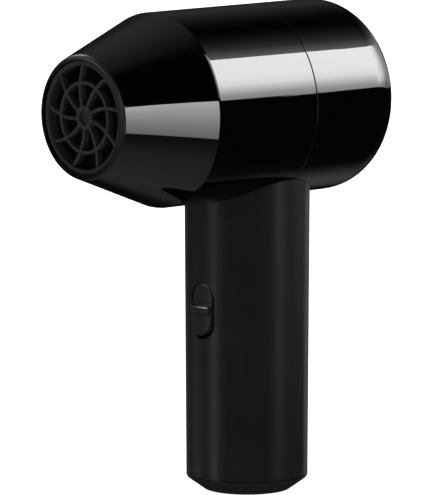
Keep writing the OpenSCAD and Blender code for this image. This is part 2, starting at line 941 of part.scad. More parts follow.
module motor_front_cap() {
    color("#77797d") on_barrel()
        motor_cap(motor_start, motor_start, bearing_front_z);
}

module motor_rear_cap() {
    color("#77797d") on_barrel()
        motor_cap(motor_end - cap_t, motor_end - bearing_boss_len, bearing_rear_z);
}

module stator_core() {
    color("#6b6e72") on_barrel() translate([0, 0, stack_z]) difference() {
        union() {
            tube(can_bore_r - fit, can_bore_r - fit - yoke_t, 0, stack_len);
            for (k = [0 : teeth - 1]) rotate([0, 0, 360 * k / teeth]) {
                translate([tooth_in_r + tooth_tip_t / 2, -tooth_w / 2, 0])
                    cube([can_bore_r - yoke_t - tooth_in_r, tooth_w, stack_len]);
                translate([tooth_in_r - tooth_tip_t / 2, -tooth_tip_w / 2, 0])
                    cube([1.5 * tooth_tip_t, tooth_tip_w, stack_len]);
            }
        }
        disc(tooth_in_r, -past, stack_len + past);
    }
}

module stator_windings() {
    inner = tooth_in_r + tooth_tip_t + rest_gap;
    outer = can_bore_r - fit - yoke_t - coil_gap;
    color(copper) on_barrel() for (k = [0 : teeth - 1]) rotate([0, 0, 360 * k / teeth])
        difference() {
            translate([inner, -tooth_w / 2 - coil_t, stack_z - coil_t])
                cube([outer - inner, tooth_w + 2 * coil_t, stack_len + 2 * coil_t]);
            translate([inner - past, -tooth_w / 2 - fit, stack_z - fit])
                cube([outer - inner + 2 * past, tooth_w + 2 * fit, stack_len + 2 * fit]);
        }
}

// A shielded ball bearing with a shallow step between its races
module bearing(from) {
    color(steel) on_barrel() rotate_extrude() difference() {
        band_2d(shaft_r + run, bearing_r, from, from + bearing_w);
        for (face = [from - past, from + bearing_w - bearing_step])
            band_2d(shaft_r + run + bearing_race, bearing_r - bearing_race, face,
                face + past + bearing_step);
    }
}

module front_bearing() {
    bearing(bearing_front_z);
}

module rear_bearing() {
    bearing(bearing_rear_z);
}

module motor_shaft() {
    color("#c9ccd0") on_barrel() disc(shaft_r, shaft_start, shaft_end);
}

module rotor_magnet() {
    color("#5b5d61") on_barrel() {
        tube(magnet_r, shaft_r + tight, stack_z, stack_z + stack_len);
    }
}

module impeller() {
    tip = duct_r - tip_gap;
    color("#1f2022") on_barrel() difference() {
        union() {
            rotate_extrude() {
                band_2d(0, fan_hub_r, fan_start, fan_hub_end - fan_hub_round);
                band_2d(0, fan_hub_r - fan_hub_round, fan_start, fan_hub_end);
                intersection() {
                    translate([fan_hub_r - fan_hub_round, fan_hub_end - fan_hub_round])
                        circle(fan_hub_round);
                    band_2d(0, fan_hub_r, fan_start, fan_hub_end);
                }
            }
            intersection() {
                union() for (k = [0 : fan_blades - 1])
                    rotate([0, 0, 360 * k / fan_blades]) translate([0, 0, fan_start + fan_len / 2])
                        blade(fan_hub_r - fan_root, tip + past, fan_bend, blade_t, fan_len + past,
                            fan_stagger);
                disc(tip, fan_start + fan_step, fan_start + fan_len);
            }
        }
        disc(shaft_r + tight, fan_start - past, fan_hub_end + past);
        // Hollow back of the hub, round the boss
        tube(fan_hub_r - fan_hub_wall, fan_boss_r, fan_start - past, fan_hub_end - fan_hub_round);
    }
}

module impeller_nut() {
    color(steel) on_barrel() difference() {
        union() {
            disc(nut_flange_r, fan_hub_end, fan_hub_end + nut_flange_t);
            translate([0, 0, fan_hub_end]) cylinder(r = nut_r, h = nut_h, $fn = 6);
        }
        disc(shaft_r + tight, fan_hub_end - past, fan_hub_end + nut_h + past);
    }
}

module motor_wires() {
    start = switch_h + housing_h / 2 + 3;
    color("#8a1f1c") for (k = [-1 : 1])
        wire([[k * wire_pitch, board_front, start],
            [k * wire_pitch, board_front - 0.5, start],
            [k * wire_pitch, board_front - 1, start],
            [k * wire_pitch, board_front - 2.2, start + 2],
            [k * wire_pitch, wire_run_y + 0.8, upper_holder_top - 3],
            [k * wire_pitch, wire_run_y, deck_h],
            [k * wire_pitch, wire_run_y, deck_top + 10],
            [k * wire_pitch, wire_run_y, axis_h - duct_out_r],
            [k * wire_pitch, wire_run_y, axis_h - can_bore_r - 0.6]], wire_r);
}

module neck_screws() {
    color(steel) for (x = [-neck_screw_x, neck_screw_x]) for (y = [-neck_screw_y, neck_screw_y])
        translate([x, y, deck_h]) pan_screw(neck_screw_len);
}

// Handle

module handle_shell() {
    color(matte_black) difference() {
        union() {
            difference() {
                translate([0, 0, split_h + split_gap]) cylinder(r1 = handle_base_r,
                    r2 = handle_top_r, h = handle_top_h - split_h - split_gap);
                disc(handle_bore_r, split_h - past, deck_h);
                disc(handle_bore_r, deck_top, handle_top_h + past);
            }
            // Bosses for the base screws, webbed to the wall
            for (side = [-1, 1]) {
                translate([0, side * base_screw_y, base_boss_z])
                    cylinder(r = base_boss_r, h = base_boss_h);
                translate([-boss_web_t / 2, side > 0 ? base_screw_y : -handle_bore_r - bite,
                    base_boss_z])
                    cube([boss_web_t, handle_bore_r + bite - base_screw_y, base_boss_h]);
            }
        }
        // The saddle that the barrel sits in
        on_barrel() disc(barrel_r + neck_gap, -past, rear_z + past);
        for (x = [-neck_screw_x, neck_screw_x]) for (y = [-neck_screw_y, neck_screw_y])
            translate([x, y, 0]) disc(screw_r + screw_clear, deck_h - past, deck_top + past);
        translate([0, wire_y, 0]) disc(wire_hole_r, deck_h - past, deck_top + past);
        for (side = [-1, 1]) translate([0, side * base_screw_y, 0])
            disc(screw_r + tight, base_boss_z - past, base_boss_top - pilot_spare);
        at_switch() stadium(rocker_hole_w, rocker_hole_h, -handle_top_r - past,
            rocker_hole_w / 4 - handle_bore_r);
    }
}

// The outline of the foot: flat base, bevel, rounded corner and side
module foot_profile() {
    turn = atan2(bevel_w, bevel_h);
    corner = bevel_round * tan(turn / 2);
    centre = [handle_base_r - bevel_round, bevel_h + corner];
    polygon([[0, 0], [handle_base_r - bevel_w, 0],
        [handle_base_r - corner * sin(turn), bevel_h - corner * cos(turn)], centre,
        [handle_base_r, centre[1]], [handle_base_r, split_h], [0, split_h]]);
    intersection() {
        translate(centre) circle(bevel_round);
        square([handle_base_r, split_h]);
    }
}

module charge_posts(r, top) {
    for (x = [-charge_post_x, charge_post_x]) for (y = [-charge_post_y, charge_post_y])
        translate([x, y, 0]) cylinder(r = r, h = top);
}

module screw_posts(top) {
    for (side = [-1, 1]) translate([0, side * base_screw_y, 0]) cylinder(r = base_post_r, h = top);
}

module base_cap() {
    color(matte_black) difference() {
        union() {
            difference() {
                union() {
                    rotate_extrude() foot_profile();
                    disc(spigot_r, split_h - bite, cap_top);
                }
                // The hollow above the floor
                disc(spigot_r - spigot_wall, bevel_h, cap_top + past);
                disc(handle_base_r - bevel_w - foot_wall, cap_floor, cap_top);
            }
            screw_posts(cap_top);
            charge_posts(charge_post_r, charge_board_z);
            charge_posts(charge_pin_r, charge_board_z + board_t + charge_pin_proud);
        }
        for (side = [-1, 1]) translate([0, side * base_screw_y, 0]) {
            disc(screw_r + screw_clear, -past, cap_top + past);
            disc(head_r + screw_clear, -past, head_sink + head_h);
        }
        // Openings for the socket and the light pipe
        translate([0, socket_y, -past]) linear_extrude(cap_floor + 2 * past) socket_outline(loose);
        translate([pipe_x, socket_y, 0]) disc(pipe_r + fit, -past, cap_floor + past);
    }
}

module base_screws() {
    color(steel) for (side = [-1, 1])
        translate([0, side * base_screw_y, head_sink + head_h]) pan_screw(base_screw_len);
}

// Battery

// A cell with the rolled groove near its positive end, positive end up
module cell() {
    rotate_extrude() difference() {
        union() {
            band_2d(0, cell_r, 0, cell_len - cell_button_h);
            band_2d(0, cell_button_r, 0, cell_len);
        }
        translate([cell_r + cell_groove_out, cell_len - cell_groove_drop]) circle(cell_groove_r);
    }
}

module battery_cell_left() {
    color("#2f6f8f") translate([-cell_x, cell_back, cell_z]) cell();
}

module battery_cell_right() {
    color("#2f6f8f") translate([cell_x, cell_back, cell_top]) rotate([180, 0, 0]) cell();
}

// The outline of a cell holder: a disc cut flat in front of the board
module holder_block(from, to) {
    intersection() {
        disc(holder_r, from, to);
        translate([-holder_r, holder_front, from]) cube([2 * holder_r, 2 * holder_r, to - from]);
    }
}

module holder_cuts(cells_from, cells_to, board_from, board_to) {
    for (x = [-cell_x, cell_x])
        translate([x, cell_back, cells_from]) cylinder(r = cell_r + fit, h = cells_to - cells_from);
    // The pockets are open to the sides and to each other
    for (x = [-holder_r - past, holder_open_x])
        translate([x, cell_back - 0.4 * holder_side_d, cells_from])
            cube([holder_r + past - holder_open_x, holder_side_d, cells_to - cells_from]);
    translate([-holder_middle[0] / 2, cell_back - holder_middle[1] / 2, cells_from])
        cube([holder_middle[0], holder_middle[1], cells_to - cells_from]);
    translate([-board_w / 2 - board_slot, board_front - board_slot, board_from])
        cube([board_w + 2 * board_slot, board_t + 2 * board_slot, board_to - board_from]);
}

module cell_holder_lower() {
    top = cell_z + pocket_depth;
    color("#3f4144") difference() {
        holder_block(holder_z, top);
        holder_cuts(cell_z - tab_t, top + past, board_z - board_slot, top + past);
        // Ways for the two tabs that run forward to the board
        for (x = [-cell_x, cell_x])
            translate([x - tab_w / 2 - fit, holder_front - past, cell_z - tab_t])
                cube([tab_w + 2 * fit, cell_back - holder_front + past, pocket_depth + past]);
    }
}

module cell_holder_upper() {
    color("#3f4144") difference() {
        holder_block(upper_holder_z, upper_holder_top);
        holder_cuts(upper_holder_z - past, cell_top + tab_t + fit, upper_holder_z - past,
            board_top + board_slot);
        // The recess that joins the two pockets, for the link
        translate([-cell_x, cell_back - link_w / 2 - fit, cell_top - fit])
            cube([2 * cell_x, link_w + 2 * fit, tab_t + 2 * fit]);
        // Notch for the motor's wires
        translate([-2 * wire_pitch, holder_front - past, upper_holder_z - past])
            cube([4 * wire_pitch, board_front - holder_front + past, upper_holder_top]);
    }
}

module cell_link() {
    color("#c7c2b4") translate([-cell_x - link_over, cell_back - link_w / 2, cell_top])
        cube([2 * (cell_x + link_over), link_w, tab_t]);
}

module cell_tabs() {
    reach = cell_back + tab_reach - board_front + tab_t;
    color("#c7c2b4") for (x = [-cell_x, cell_x])
        translate([x - tab_w / 2, board_front - tab_t, cell_z - tab_t]) {
            cube([tab_w, reach, tab_t]);
            cube([tab_w, tab_t, tab_rise]);
        }
}

module holder_pad() {
    color("#2b2b2b") translate([-pad_w / 2, pad_front, upper_holder_top])
        cube([pad_w, pad_d, deck_h - upper_holder_top]);
}

// Boards

module control_board() {
    color("#1d5a35") difference() {
        translate([-board_w / 2, board_front, board_z]) cube([board_w, board_t, board_top - board_z]);
        at_switch() for (z = terminal_z) terminal_way(z, board_front - past, board_back + past);
    }
}

module power_transistors() {
    step = transistor + [transistor_gap, 0, transistor_gap];
    color("#17181a") for (column = [-2 : 0]) for (row = [0, 1])
        translate([transistor_x + column * step[0], board_front - transistor[1],
            board_z + transistor_up + row * step[2]]) cube(transistor);
}

// A flat chip with legs on all four sides
module controller_chip() {
    chip_t = 3 * leg_t;
    color("#17181a") translate([chip_x - chip_w / 2, board_front, board_z + chip_up]) {
        translate([0, -chip_t - leg_t / 2, 0]) cube([chip_w, chip_t, chip_w]);
        for (k = [0 : chip_legs - 1]) {
            translate([-leg_out, -leg_t, leg_t + k * leg_pitch])
                cube([chip_w + 2 * leg_out, leg_t, leg_w]);
            translate([leg_t + k * leg_pitch, -leg_t, -leg_out])
                cube([leg_w, leg_t, chip_w + 2 * leg_out]);
        }
        translate([leg_w, -2 * leg_t, leg_w]) cube([chip_w - 2 * leg_w, 1.5 * leg_t, chip_w - 2 * leg_w]);
    }
}

module capacitors() {
    color("#2a2f52") for (x = [-capacitor_x, capacitor_x])
        translate([x, board_front, board_z + capacitor_up]) rotate([90, 0, 0]) rotate_extrude()
            difference() {
                band_2d(0, capacitor_r, 0, capacitor_len);
                translate([capacitor_r + 0.6 * capacitor_bead_r, capacitor_bead_z])
                    circle(capacitor_bead_r);
                band_2d(-past, capacitor_r - capacitor_rim, capacitor_len - capacitor_dish,
                    capacitor_len + past);
            }
}

module charging_board() {
    color("#1d5a35") difference() {
        translate([-charge_board_w / 2, -charge_board_d / 2, charge_board_z])
            cube([charge_board_w, charge_board_d, board_t]);
        for (x = [-charge_post_x, charge_post_x]) for (y = [-charge_post_y, charge_post_y])
            translate([x, y, 0])
                disc(charge_pin_r + fit, charge_board_z - past, charge_board_z + board_t + past);
    }
    // Its charging chip and coil on top, and its lamp below, over the light pipe
    color("#17181a") translate([-10, -2, charge_board_z + board_t]) cube(charge_chip);
    color("#4a4d52") translate([4, -2.5, charge_board_z + board_t]) cube(charge_coil);
    color("#f2f0e6") translate([pipe_x - charge_lamp[0] / 2, socket_y - charge_lamp[1] / 2,
        charge_board_z - charge_lamp[2]]) cube(charge_lamp);
}

// The rounded outline of the socket, grown by a clearance
module socket_outline(grow) {
    h = socket_h + 2 * grow;
    w = socket_w + 2 * grow;
    square([w - h, h], center = true);
    translate([(w - h) / 2, 0]) circle(h / 2);
    translate([(h - w) / 2, 0]) circle(h / 2);
}

module charging_socket() {
    depth = charge_board_z - socket_mouth;
    color(steel) translate([0, socket_y, socket_mouth]) {
        difference() {
            linear_extrude(depth) socket_outline(0);
            translate([0, 0, -past]) linear_extrude(depth + past - socket_back)
                socket_outline(-socket_wall);
        }
        translate([-tongue_w / 2, -tongue_t / 2, tongue_inset])
            cube([tongue_w, tongue_t, depth - tongue_inset]);
    }
}

module charging_wires() {
    board_end = board_z + charge_wire_up;
    color("#1e1e20") for (x = [-charge_wire_x, charge_wire_x])
        wire([[x, -6, charge_board_z + board_t],
            [x, -6, charge_board_z + board_t + 0.8],
            [x, -6, charge_board_z + board_t + 1.6],
            [x, -9, base_boss_z + 3.6],
            [x, -12, holder_z - 2],
            [x, -12.4, holder_z + 4],
            [x, board_front - 1.8, board_end],
            [x, board_front - 0.9, board_end],
            [x, board_front, board_end]], charge_wire_r);
}

module charge_light_pipe() {
    color("#e8e6df") translate([pipe_x, socket_y, 0])
        disc(pipe_r, pipe_mouth, charge_board_z - charge_lamp[2] - fit);
}

// Switch

// The plunger's tube or its bore, along the rocker's own axis
module plunger_round(r, from, to) {
    translate([0, to, 0]) rotate([90, 0, 0]) cylinder(r = r, h = to - from);
}

module rocker_button() {
    ridge_skin_r = rocker_skin_r + ridge_out;
    color(satin_black) rocked() difference() {
        union() {
            // The face, which follows the round of the handle
            intersection() {
                stadium(rocker_w, rocker_h, -rocker_skin_r - past, rocker_plate_y);
                translate([0, 0, -rocker_h]) cylinder(r = rocker_skin_r, h = 2 * rocker_h);
            }
            // The thumb ridge
            intersection() {
                translate([ridge_end - rocker_w / 2, -ridge_skin_r - past, -ridge_h / 2])
                    cube([rocker_w - 2 * ridge_end, ridge_skin_r + past + rocker_plate_y, ridge_h]);
                translate([0, 0, -rocker_h]) cylinder(r = ridge_skin_r, h = 2 * rocker_h);
            }
            // The skirt, its two trunnions and the plunger's tube
            translate([-rocker_skirt_w / 2, rocker_plate_y - bite, -rocker_skirt_h / 2])
                cube([rocker_skirt_w, rocker_skirt_y - rocker_plate_y + bite, rocker_skirt_h]);
            translate([0, rocker_pivot_y, 0]) rotate([0, 90, 0])
                cylinder(r = trunnion_r, h = housing_w - 2 * trunnion_end, center = true);
            plunger_round(plunger_tube_r, rocker_plate_y - bite, plunger_tube_y);
        }
        // The hollow of the skirt, round the plunger's tube
        difference() {
            translate([rocker_wall - rocker_skirt_w / 2, rocker_plate_y,
                rocker_wall - rocker_skirt_h / 2])
                cube([rocker_skirt_w - 2 * rocker_wall, housing_back - rocker_plate_y,
                    rocker_skirt_h - 2 * rocker_wall]);
            plunger_round(plunger_tube_r, rocker_plate_y - bite, plunger_tube_y);
        }
        plunger_round(plunger_r + fit, spring_front_y, plunger_tube_y + past);
    }
}

module switch_plunger() {
    color("#d8d4c8") rocked() {
        translate([0, plunger_y, 0]) sphere(r = plunger_r);
        plunger_round(plunger_r, plunger_y - plunger_len, plunger_y);
    }
}

module plunger_spring() {
    count = spring_turns * spring_steps;
    start = spring_front_y + spring_wire_r;
    rise = (spring_back_y - spring_wire_r - start) / count;
    color(steel) rocked() sweep([for (i = [0 : count])
        let (turn = 360 * i / spring_steps)
            [spring_coil_r * cos(turn), start + i * rise, spring_coil_r * sin(turn)]],
        spring_wire_r, spring_sides, [0, 1, 0]);
}

module switch_housing() {
    depth = housing_back - housing_front;
    color("#1a1a1c") at_switch() difference() {
        translate([-housing_w / 2, housing_front, -housing_h / 2]) cube([housing_w, depth, housing_h]);
        translate([housing_wall - housing_w / 2, housing_front - past, housing_wall - housing_h / 2])
            cube([housing_w - 2 * housing_wall, depth - housing_wall + past,
                housing_h - 2 * housing_wall]);
        translate([0, rocker_pivot_y, 0]) rotate([0, 90, 0])
            cylinder(r = trunnion_r + trunnion_gap, h = housing_w + past, center = true);
        for (z = terminal_z) terminal_way(z, housing_floor_y - past, housing_back + past);
    }
}

// The slot that a terminal passes through
module terminal_way(z, from, to) {
    translate([-terminal_w / 2 - fit, from, z - terminal_h / 2 - fit])
        cube([terminal_w + 2 * fit, to - from, terminal_h + 2 * fit]);
}

module switch_terminals() {
    color("#c9a24a") at_switch() for (z = terminal_z) {
        front = z == 0 ? pivot_contact_y : end_contact_y;
        translate([-terminal_w / 2, front, z - terminal_h / 2])
            cube([terminal_w, board_back + terminal_tail - front, terminal_h]);
    }
}

// A flat lever with a rounded rib across it, which rocks on the middle terminal
module contact_lever() {
    color("#c9a24a") at_switch() translate([0, lever_pivot_y, 0]) rotate([lever_tilt, 0, 0]) {
        translate([-lever_w / 2, -lever_t / 2, -lever_h / 2]) cube([lever_w, lever_t, lever_h]);
        rotate([0, 90, 0]) cylinder(r = lever_rib_r, h = lever_w, center = true);
    }
}

front_housing();
rear_housing();
outlet_grille();
intake_grille();
intake_filter();
fan_duct();
front_isolator();
rear_isolator();
stator_vanes();
tail_cone();
motor_can();
motor_front_cap();
motor_rear_cap();
stator_core();
stator_windings();
front_bearing();
rear_bearing();
motor_shaft();
rotor_magnet();
impeller();
impeller_nut();
motor_wires();
neck_screws();
handle_shell();
base_cap();
base_screws();
battery_cell_left();
battery_cell_right();
cell_holder_lower();
cell_holder_upper();
cell_link();
cell_tabs();
holder_pad();
control_board();
power_transistors();
controller_chip();
capacitors();
charging_board();
charging_socket();
charging_wires();
charge_light_pipe();
rocker_button();
switch_plunger();
plunger_spring();
switch_housing();
switch_terminals();
contact_lever();
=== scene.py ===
# Dresses the cordless hand blower: gloss barrel, satin handle, grilles, rocker and inner works.
import math

import bpy
from mathutils import Matrix, Vector


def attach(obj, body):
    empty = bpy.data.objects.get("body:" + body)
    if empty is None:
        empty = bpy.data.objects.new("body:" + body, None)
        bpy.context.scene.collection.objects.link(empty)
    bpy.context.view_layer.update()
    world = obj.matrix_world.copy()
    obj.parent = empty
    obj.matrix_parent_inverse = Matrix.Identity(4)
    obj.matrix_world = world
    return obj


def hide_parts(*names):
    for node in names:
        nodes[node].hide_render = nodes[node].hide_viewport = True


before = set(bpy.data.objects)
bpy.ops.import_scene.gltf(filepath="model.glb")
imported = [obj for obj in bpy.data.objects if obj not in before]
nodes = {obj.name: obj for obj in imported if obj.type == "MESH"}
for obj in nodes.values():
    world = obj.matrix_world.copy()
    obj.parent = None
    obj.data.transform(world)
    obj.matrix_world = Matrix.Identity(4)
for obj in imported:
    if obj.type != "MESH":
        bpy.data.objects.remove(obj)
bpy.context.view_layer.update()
print("frame loaded:", len(nodes), "nodes")

mm = 0.001
axisHeight = 134.0  # the barrel's axis, mm above the foot
noseFace = -75.6  # y of the nose's face; distances along the barrel count from here
hair = 0.01  # mm that spokes stand inside the rings they cross, so that no faces share a plane
weld = 0.002  # mm; points closer than this become one
onFace = 0.02  # mm; a point this close to a face counts as on it
pinhole = 0.02  # mm; lathe profiles stop this far from the middle, and the hole is filled
scene = bpy.context.scene
scene.view_settings.view_transform = "Standard"


# modelling helpers: sizes come in millimetres, meshes are made in metres

def at(x, y, z):
    return Vector((x, y, z)) * mm


def deselectAll():
    bpy.ops.object.select_all(action="DESELECT")


def selectOnly(piece):
    deselectAll()
    piece.select_set(True)
    bpy.context.view_layer.objects.active = piece


def edit(select="SELECT"):
    # opens the active mesh with everything in it selected, or nothing
    bpy.ops.object.mode_set(mode="EDIT")
    bpy.ops.mesh.select_all(action=select)


def stopEditing():
    bpy.ops.object.mode_set(mode="OBJECT")


def nameActive(name):
    piece = bpy.context.active_object
    piece.name = piece.data.name = name
    bpy.ops.object.transform_apply(location=True, rotation=True, scale=True)
    return piece


def corner(radius, distance, size, start, end, steps=8):
    # points round a corner of the profile; angles run from straight outwards towards the far end
    turns = [math.radians(start + (end - start) * i / steps) for i in range(steps + 1)]
    return [(radius + size * math.cos(t), distance + size * math.sin(t)) for t in turns]


def turnOnLathe(name, profile, upright=False, segments=192):
    # a ring is drawn out along the profile of (radius, distance) and scaled at every step
    along = Vector((0, 0, 1)) if upright else Vector((0, 1, 0))
    middle = Vector((0, 0, 0)) if upright else at(0, noseFace, axisHeight)
    radius, distance = profile[0]
    deselectAll()
    bpy.ops.mesh.primitive_circle_add(
        vertices=segments, radius=radius * mm, fill_type="NOTHING",
        location=middle + along * distance * mm,
        rotation=(0, 0, 0) if upright else (math.pi / 2, 0, 0))
    piece = nameActive(name)
    edit()
    for nextRadius, nextDistance in profile[1:]:
        bpy.ops.mesh.extrude_region_move(
            TRANSFORM_OT_translate={"value": along * (nextDistance - distance) * mm})
        grow = nextRadius / radius
        bpy.ops.transform.resize(
            value=(grow, grow, 1) if upright else (grow, 1, grow),
            center_override=middle + along * nextDistance * mm)
        radius, distance = nextRadius, nextDistance
    bpy.ops.mesh.select_all(action="SELECT")
    bpy.ops.mesh.remove_doubles(threshold=weld * mm)
    bpy.ops.mesh.fill_holes(sides=0)
    bpy.ops.mesh.select_all(action="SELECT")
    bpy.ops.mesh.normals_make_consistent(inside=False)
    stopEditing()
    return piece


def rod(name, radius, start, end, sides=48):
    # a plain round bar between two points, for bosses and for drilling
    run = end - start
    deselectAll()
    bpy.ops.mesh.primitive_cylinder_add(
        vertices=sides, radius=radius * mm, depth=run.length, location=(start + end) / 2,
        rotation=run.to_track_quat("Z", "Y").to_euler())
    return nameActive(name)


def post(name, radius, x, y, reach, sides=48):
    # an upright rod between two heights
    return rod(name, radius, at(x, y, reach[0]), at(x, y, reach[1]), sides)


def block(name, low, high):
    # a plain bar between two opposite corners
    deselectAll()
    bpy.ops.mesh.primitive_cube_add(size=1, location=(low + high) / 2, scale=high - low)
    return nameActive(name)


def applyModifier(piece, kind, **settings):
    modifier = piece.modifiers.new(kind.lower(), kind)
    for key, value in settings.items():
        setattr(modifier, key, value)
    selectOnly(piece)
    bpy.ops.object.modifier_apply(modifier=modifier.name)


def softenEdges(piece, width, sharpness):
    # a small bevel, in mm, on every edge that turns by more than so many degrees
    applyModifier(piece, "BEVEL", width=width * mm, segments=3, limit_method="ANGLE",
                  angle_limit=math.radians(sharpness))


def turnAbout(piece, pivot, angle, axis):
    # turns the mesh and not the object, by degrees
    turn = Matrix.Rotation(math.radians(angle), 4, axis)
    piece.data.transform(Matrix.Translation(pivot) @ turn @ Matrix.Translation(-pivot))


def stadiumBar(name, width, length, start, end, longWay, sides=96):
    # a round bar pulled out sideways into a stadium
    bar = rod(name, width / 2, start, end, sides)
    middle, shift = (start + end) / 2, (length - width) / 2 * mm
    # half a step of turn keeps every point to one side
    turnAbout(bar, middle, 180 / sides, (end - start).normalized())
    halves = [[p.index for p in bar.data.vertices if (p.co - middle).dot(longWay) * side > 0]
              for side in (-1, 1)]
    selectOnly(bar)
    for side, half in zip((-1, 1), halves):
        edit("DESELECT")
        stopEditing()
        for index in half:
            bar.data.vertices[index].select = True
        bpy.ops.object.mode_set(mode="EDIT")
        bpy.ops.transform.translate(value=longWay * shift * side)
        stopEditing()
    return bar


def combine(piece, tools, operation):
    # joins the tools to the piece or cuts them out of it, clears slivers and throws the tools away
    for tool in tools:
        applyModifier(piece, "BOOLEAN", operation=operation, object=tool, solver="EXACT")
        bpy.data.objects.remove(tool, do_unlink=True)
        edit()
        bpy.ops.mesh.remove_doubles(threshold=weld * mm)
        bpy.ops.mesh.dissolve_degenerate(threshold=weld * mm / 2)
        stopEditing()


def bevelEdges(piece, width, test, segments=3):
    # rounds the edges whose two ends, in mm, pass the test
    selectOnly(piece)
    edit("DESELECT")
    bpy.ops.mesh.select_mode(type="EDGE")
    stopEditing()
    points = piece.data.vertices
    for edge in piece.data.edges:
        a, b = (points[i].co / mm for i in edge.vertices)
        edge.select = bool(test(a, b))
    bpy.ops.object.mode_set(mode="EDIT")
    bpy.ops.mesh.bevel(offset=width * mm, offset_type="OFFSET", segments=segments, profile=0.5,
                       clamp_overlap=True)
    bpy.ops.mesh.select_all(action="SELECT")
    bpy.ops.mesh.select_mode(type="VERT")
    stopEditing()


def finishPiece(piece, body, slot, replaced, smoothAngle=24):
    # smooths and paints the piece, ties it to the frame and puts it in its lights
    selectOnly(piece)
    bpy.ops.object.shade_smooth_by_angle(angle=math.radians(smoothAngle))
    applyModifier(piece, "WEIGHTED_NORMAL", weight=50, keep_sharp=True)
    piece.data.materials.clear()
    piece.data.materials.append(finishes[slot])
    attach(piece, body)
    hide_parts(*replaced)
    (litBarrel if slot == "gloss_black_shell" else litHandle).objects.link(piece)
    if slot == "satin_black_switch":
        litSwitch.objects.link(piece)
    print("made", piece.name, len(piece.data.vertices), "points")


# materials

class surface:
    # a Principled material whose patterns read Object coordinates
    def __init__(self, name, colour, roughness, **sockets):
        self.material = bpy.data.materials.new(name)
        self.material.use_nodes = True
        self.tree = self.material.node_tree
        self.shader = self.tree.nodes["Principled BSDF"]
        self.shader.inputs["Base Color"].default_value = (*colour, 1)
        self.shader.inputs["Roughness"].default_value = roughness
        for socket, value in sockets.items():
            self.shader.inputs[socket.replace("_", " ")].default_value = value
        self.coordinates = self.tree.nodes.new("ShaderNodeTexCoord").outputs["Object"]
        self.height = None

    def feed(self, socket, value):
        # another node's output is linked, a plain number or colour is set
        if hasattr(value, "is_output"):
            self.tree.links.new(value, socket)
        else:
            socket.default_value = value

    def add(self, kind, **inputs):
        node = self.tree.nodes.new(kind)
        for key, value in inputs.items():
            self.feed(node.inputs[key.replace("_", " ")], value)
        return node

    def stretched(self, scale=(1, 1, 1), location=(0, 0, 0), turn=(0, 0, 0)):
        return self.add("ShaderNodeMapping", Vector=self.coordinates, Location=location,
                        Rotation=[math.radians(t) for t in turn], Scale=scale).outputs["Vector"]

    def noise(self, scale, detail, rough=0.5, vector=None):
        return self.add("ShaderNodeTexNoise", Vector=vector or self.coordinates, Scale=scale,
                        Detail=detail, Roughness=rough).outputs["Fac"]

    def calculate(self, operation, *values):
        node = self.tree.nodes.new("ShaderNodeMath")
        node.operation = operation
        for value, socket in zip(values, node.inputs):
            self.feed(socket, value)
        return node.outputs["Value"]

    def ranged(self, value, low, high, start=0.3, end=0.7):
        # low up to start, high from end on
        return self.add("ShaderNodeMapRange", Value=value, From_Min=start, From_Max=end,
                        To_Min=low, To_Max=high).outputs["Result"]

    def colour(self, value, first, second, start=0.3, end=0.7):
        # the first colour where the value is up to start, the second from end on
        ramp = self.add("ShaderNodeValToRGB", Fac=value)
        for mark, place, shade in zip(ramp.color_ramp.elements, (start, end), (first, second)):
            mark.position, mark.color = place, (*shade, 1)
        self.tree.links.new(ramp.outputs["Color"], self.shader.inputs["Base Color"])

    def roughness(self, output):
        self.tree.links.new(output, self.shader.inputs["Roughness"])

    def sheen(self, scale, detail, low, high):
        # roughness that wanders between low and high
        self.roughness(self.ranged(self.noise(scale, detail), low, high))

    def bump(self, value, depth):
        # depth in mm; bumps stack: each one starts from the normal of the one before
        node = self.add("ShaderNodeBump", Height=value, Strength=1.0, Distance=depth * mm)
        if self.height:
            self.tree.links.new(self.height, node.inputs["Normal"])
        self.height = node.outputs["Normal"]
        self.tree.links.new(self.height, self.shader.inputs["Normal"])


def tinted(colour, *shares):
    # the colour times each share, darker under 1 and lighter over it
    return [tuple(c * share for c in colour) for share in shares]


def moulded(name, colour, roughness, spread=0.06, grain=1600, depth=0.01, mottle=0.12):
    # moulded plastic or rubber: fine grain, soft flow marks in the colour, uneven sheen
    finish = surface(name, colour, roughness)
    finish.colour(finish.noise(90, 2), *tinted(colour, 1 - mottle, 1 + mottle))
    finish.sheen(260, 4, roughness - spread, roughness + spread)
    finish.bump(finish.noise(grain, 2), depth)
    return finish.material


def machined(name, colour, roughness, stretch=(60, 3000, 3000), spread=0.08, depth=0.003):
    # bare metal: tool marks drawn out along one direction
    finish = surface(name, colour, roughness, Metallic=1.0)
    marks = finish.noise(1.0, 3, vector=finish.stretched(stretch))
    finish.colour(marks, *tinted(colour, 0.82, 1))
    finish.roughness(finish.ranged(marks, roughness + spread, roughness - spread))
    finish.bump(marks, depth)
    return finish.material


bandSpacing = 0.314  # how far apart a wave texture's bands are at scale 1


def bands(finish, period, axis, turn=(0, 0, 0), distortion=0.0):
    # even ridges a period apart in mm, along one axis
    node = finish.add("ShaderNodeTexWave", Vector=finish.stretched(turn=turn),
                      Scale=bandSpacing / (period * mm), Distortion=distortion)
    node.bands_direction = axis
    return node.outputs["Fac"]


def wound(name, colour, wire):
    # enamelled wire laid side by side, each turn a little different
    finish = surface(name, colour, 0.28, Metallic=1.0, Coat_Weight=0.6, Coat_Roughness=0.15)
    turns = bands(finish, wire, "X", (0, 35, 0), 1.5)
    finish.colour(turns, *tinted(colour, 0.35, 1), 0.1, 0.7)
    finish.sheen(900, 3, 0.2, 0.4)
    finish.bump(turns, 0.12)
    return finish.material


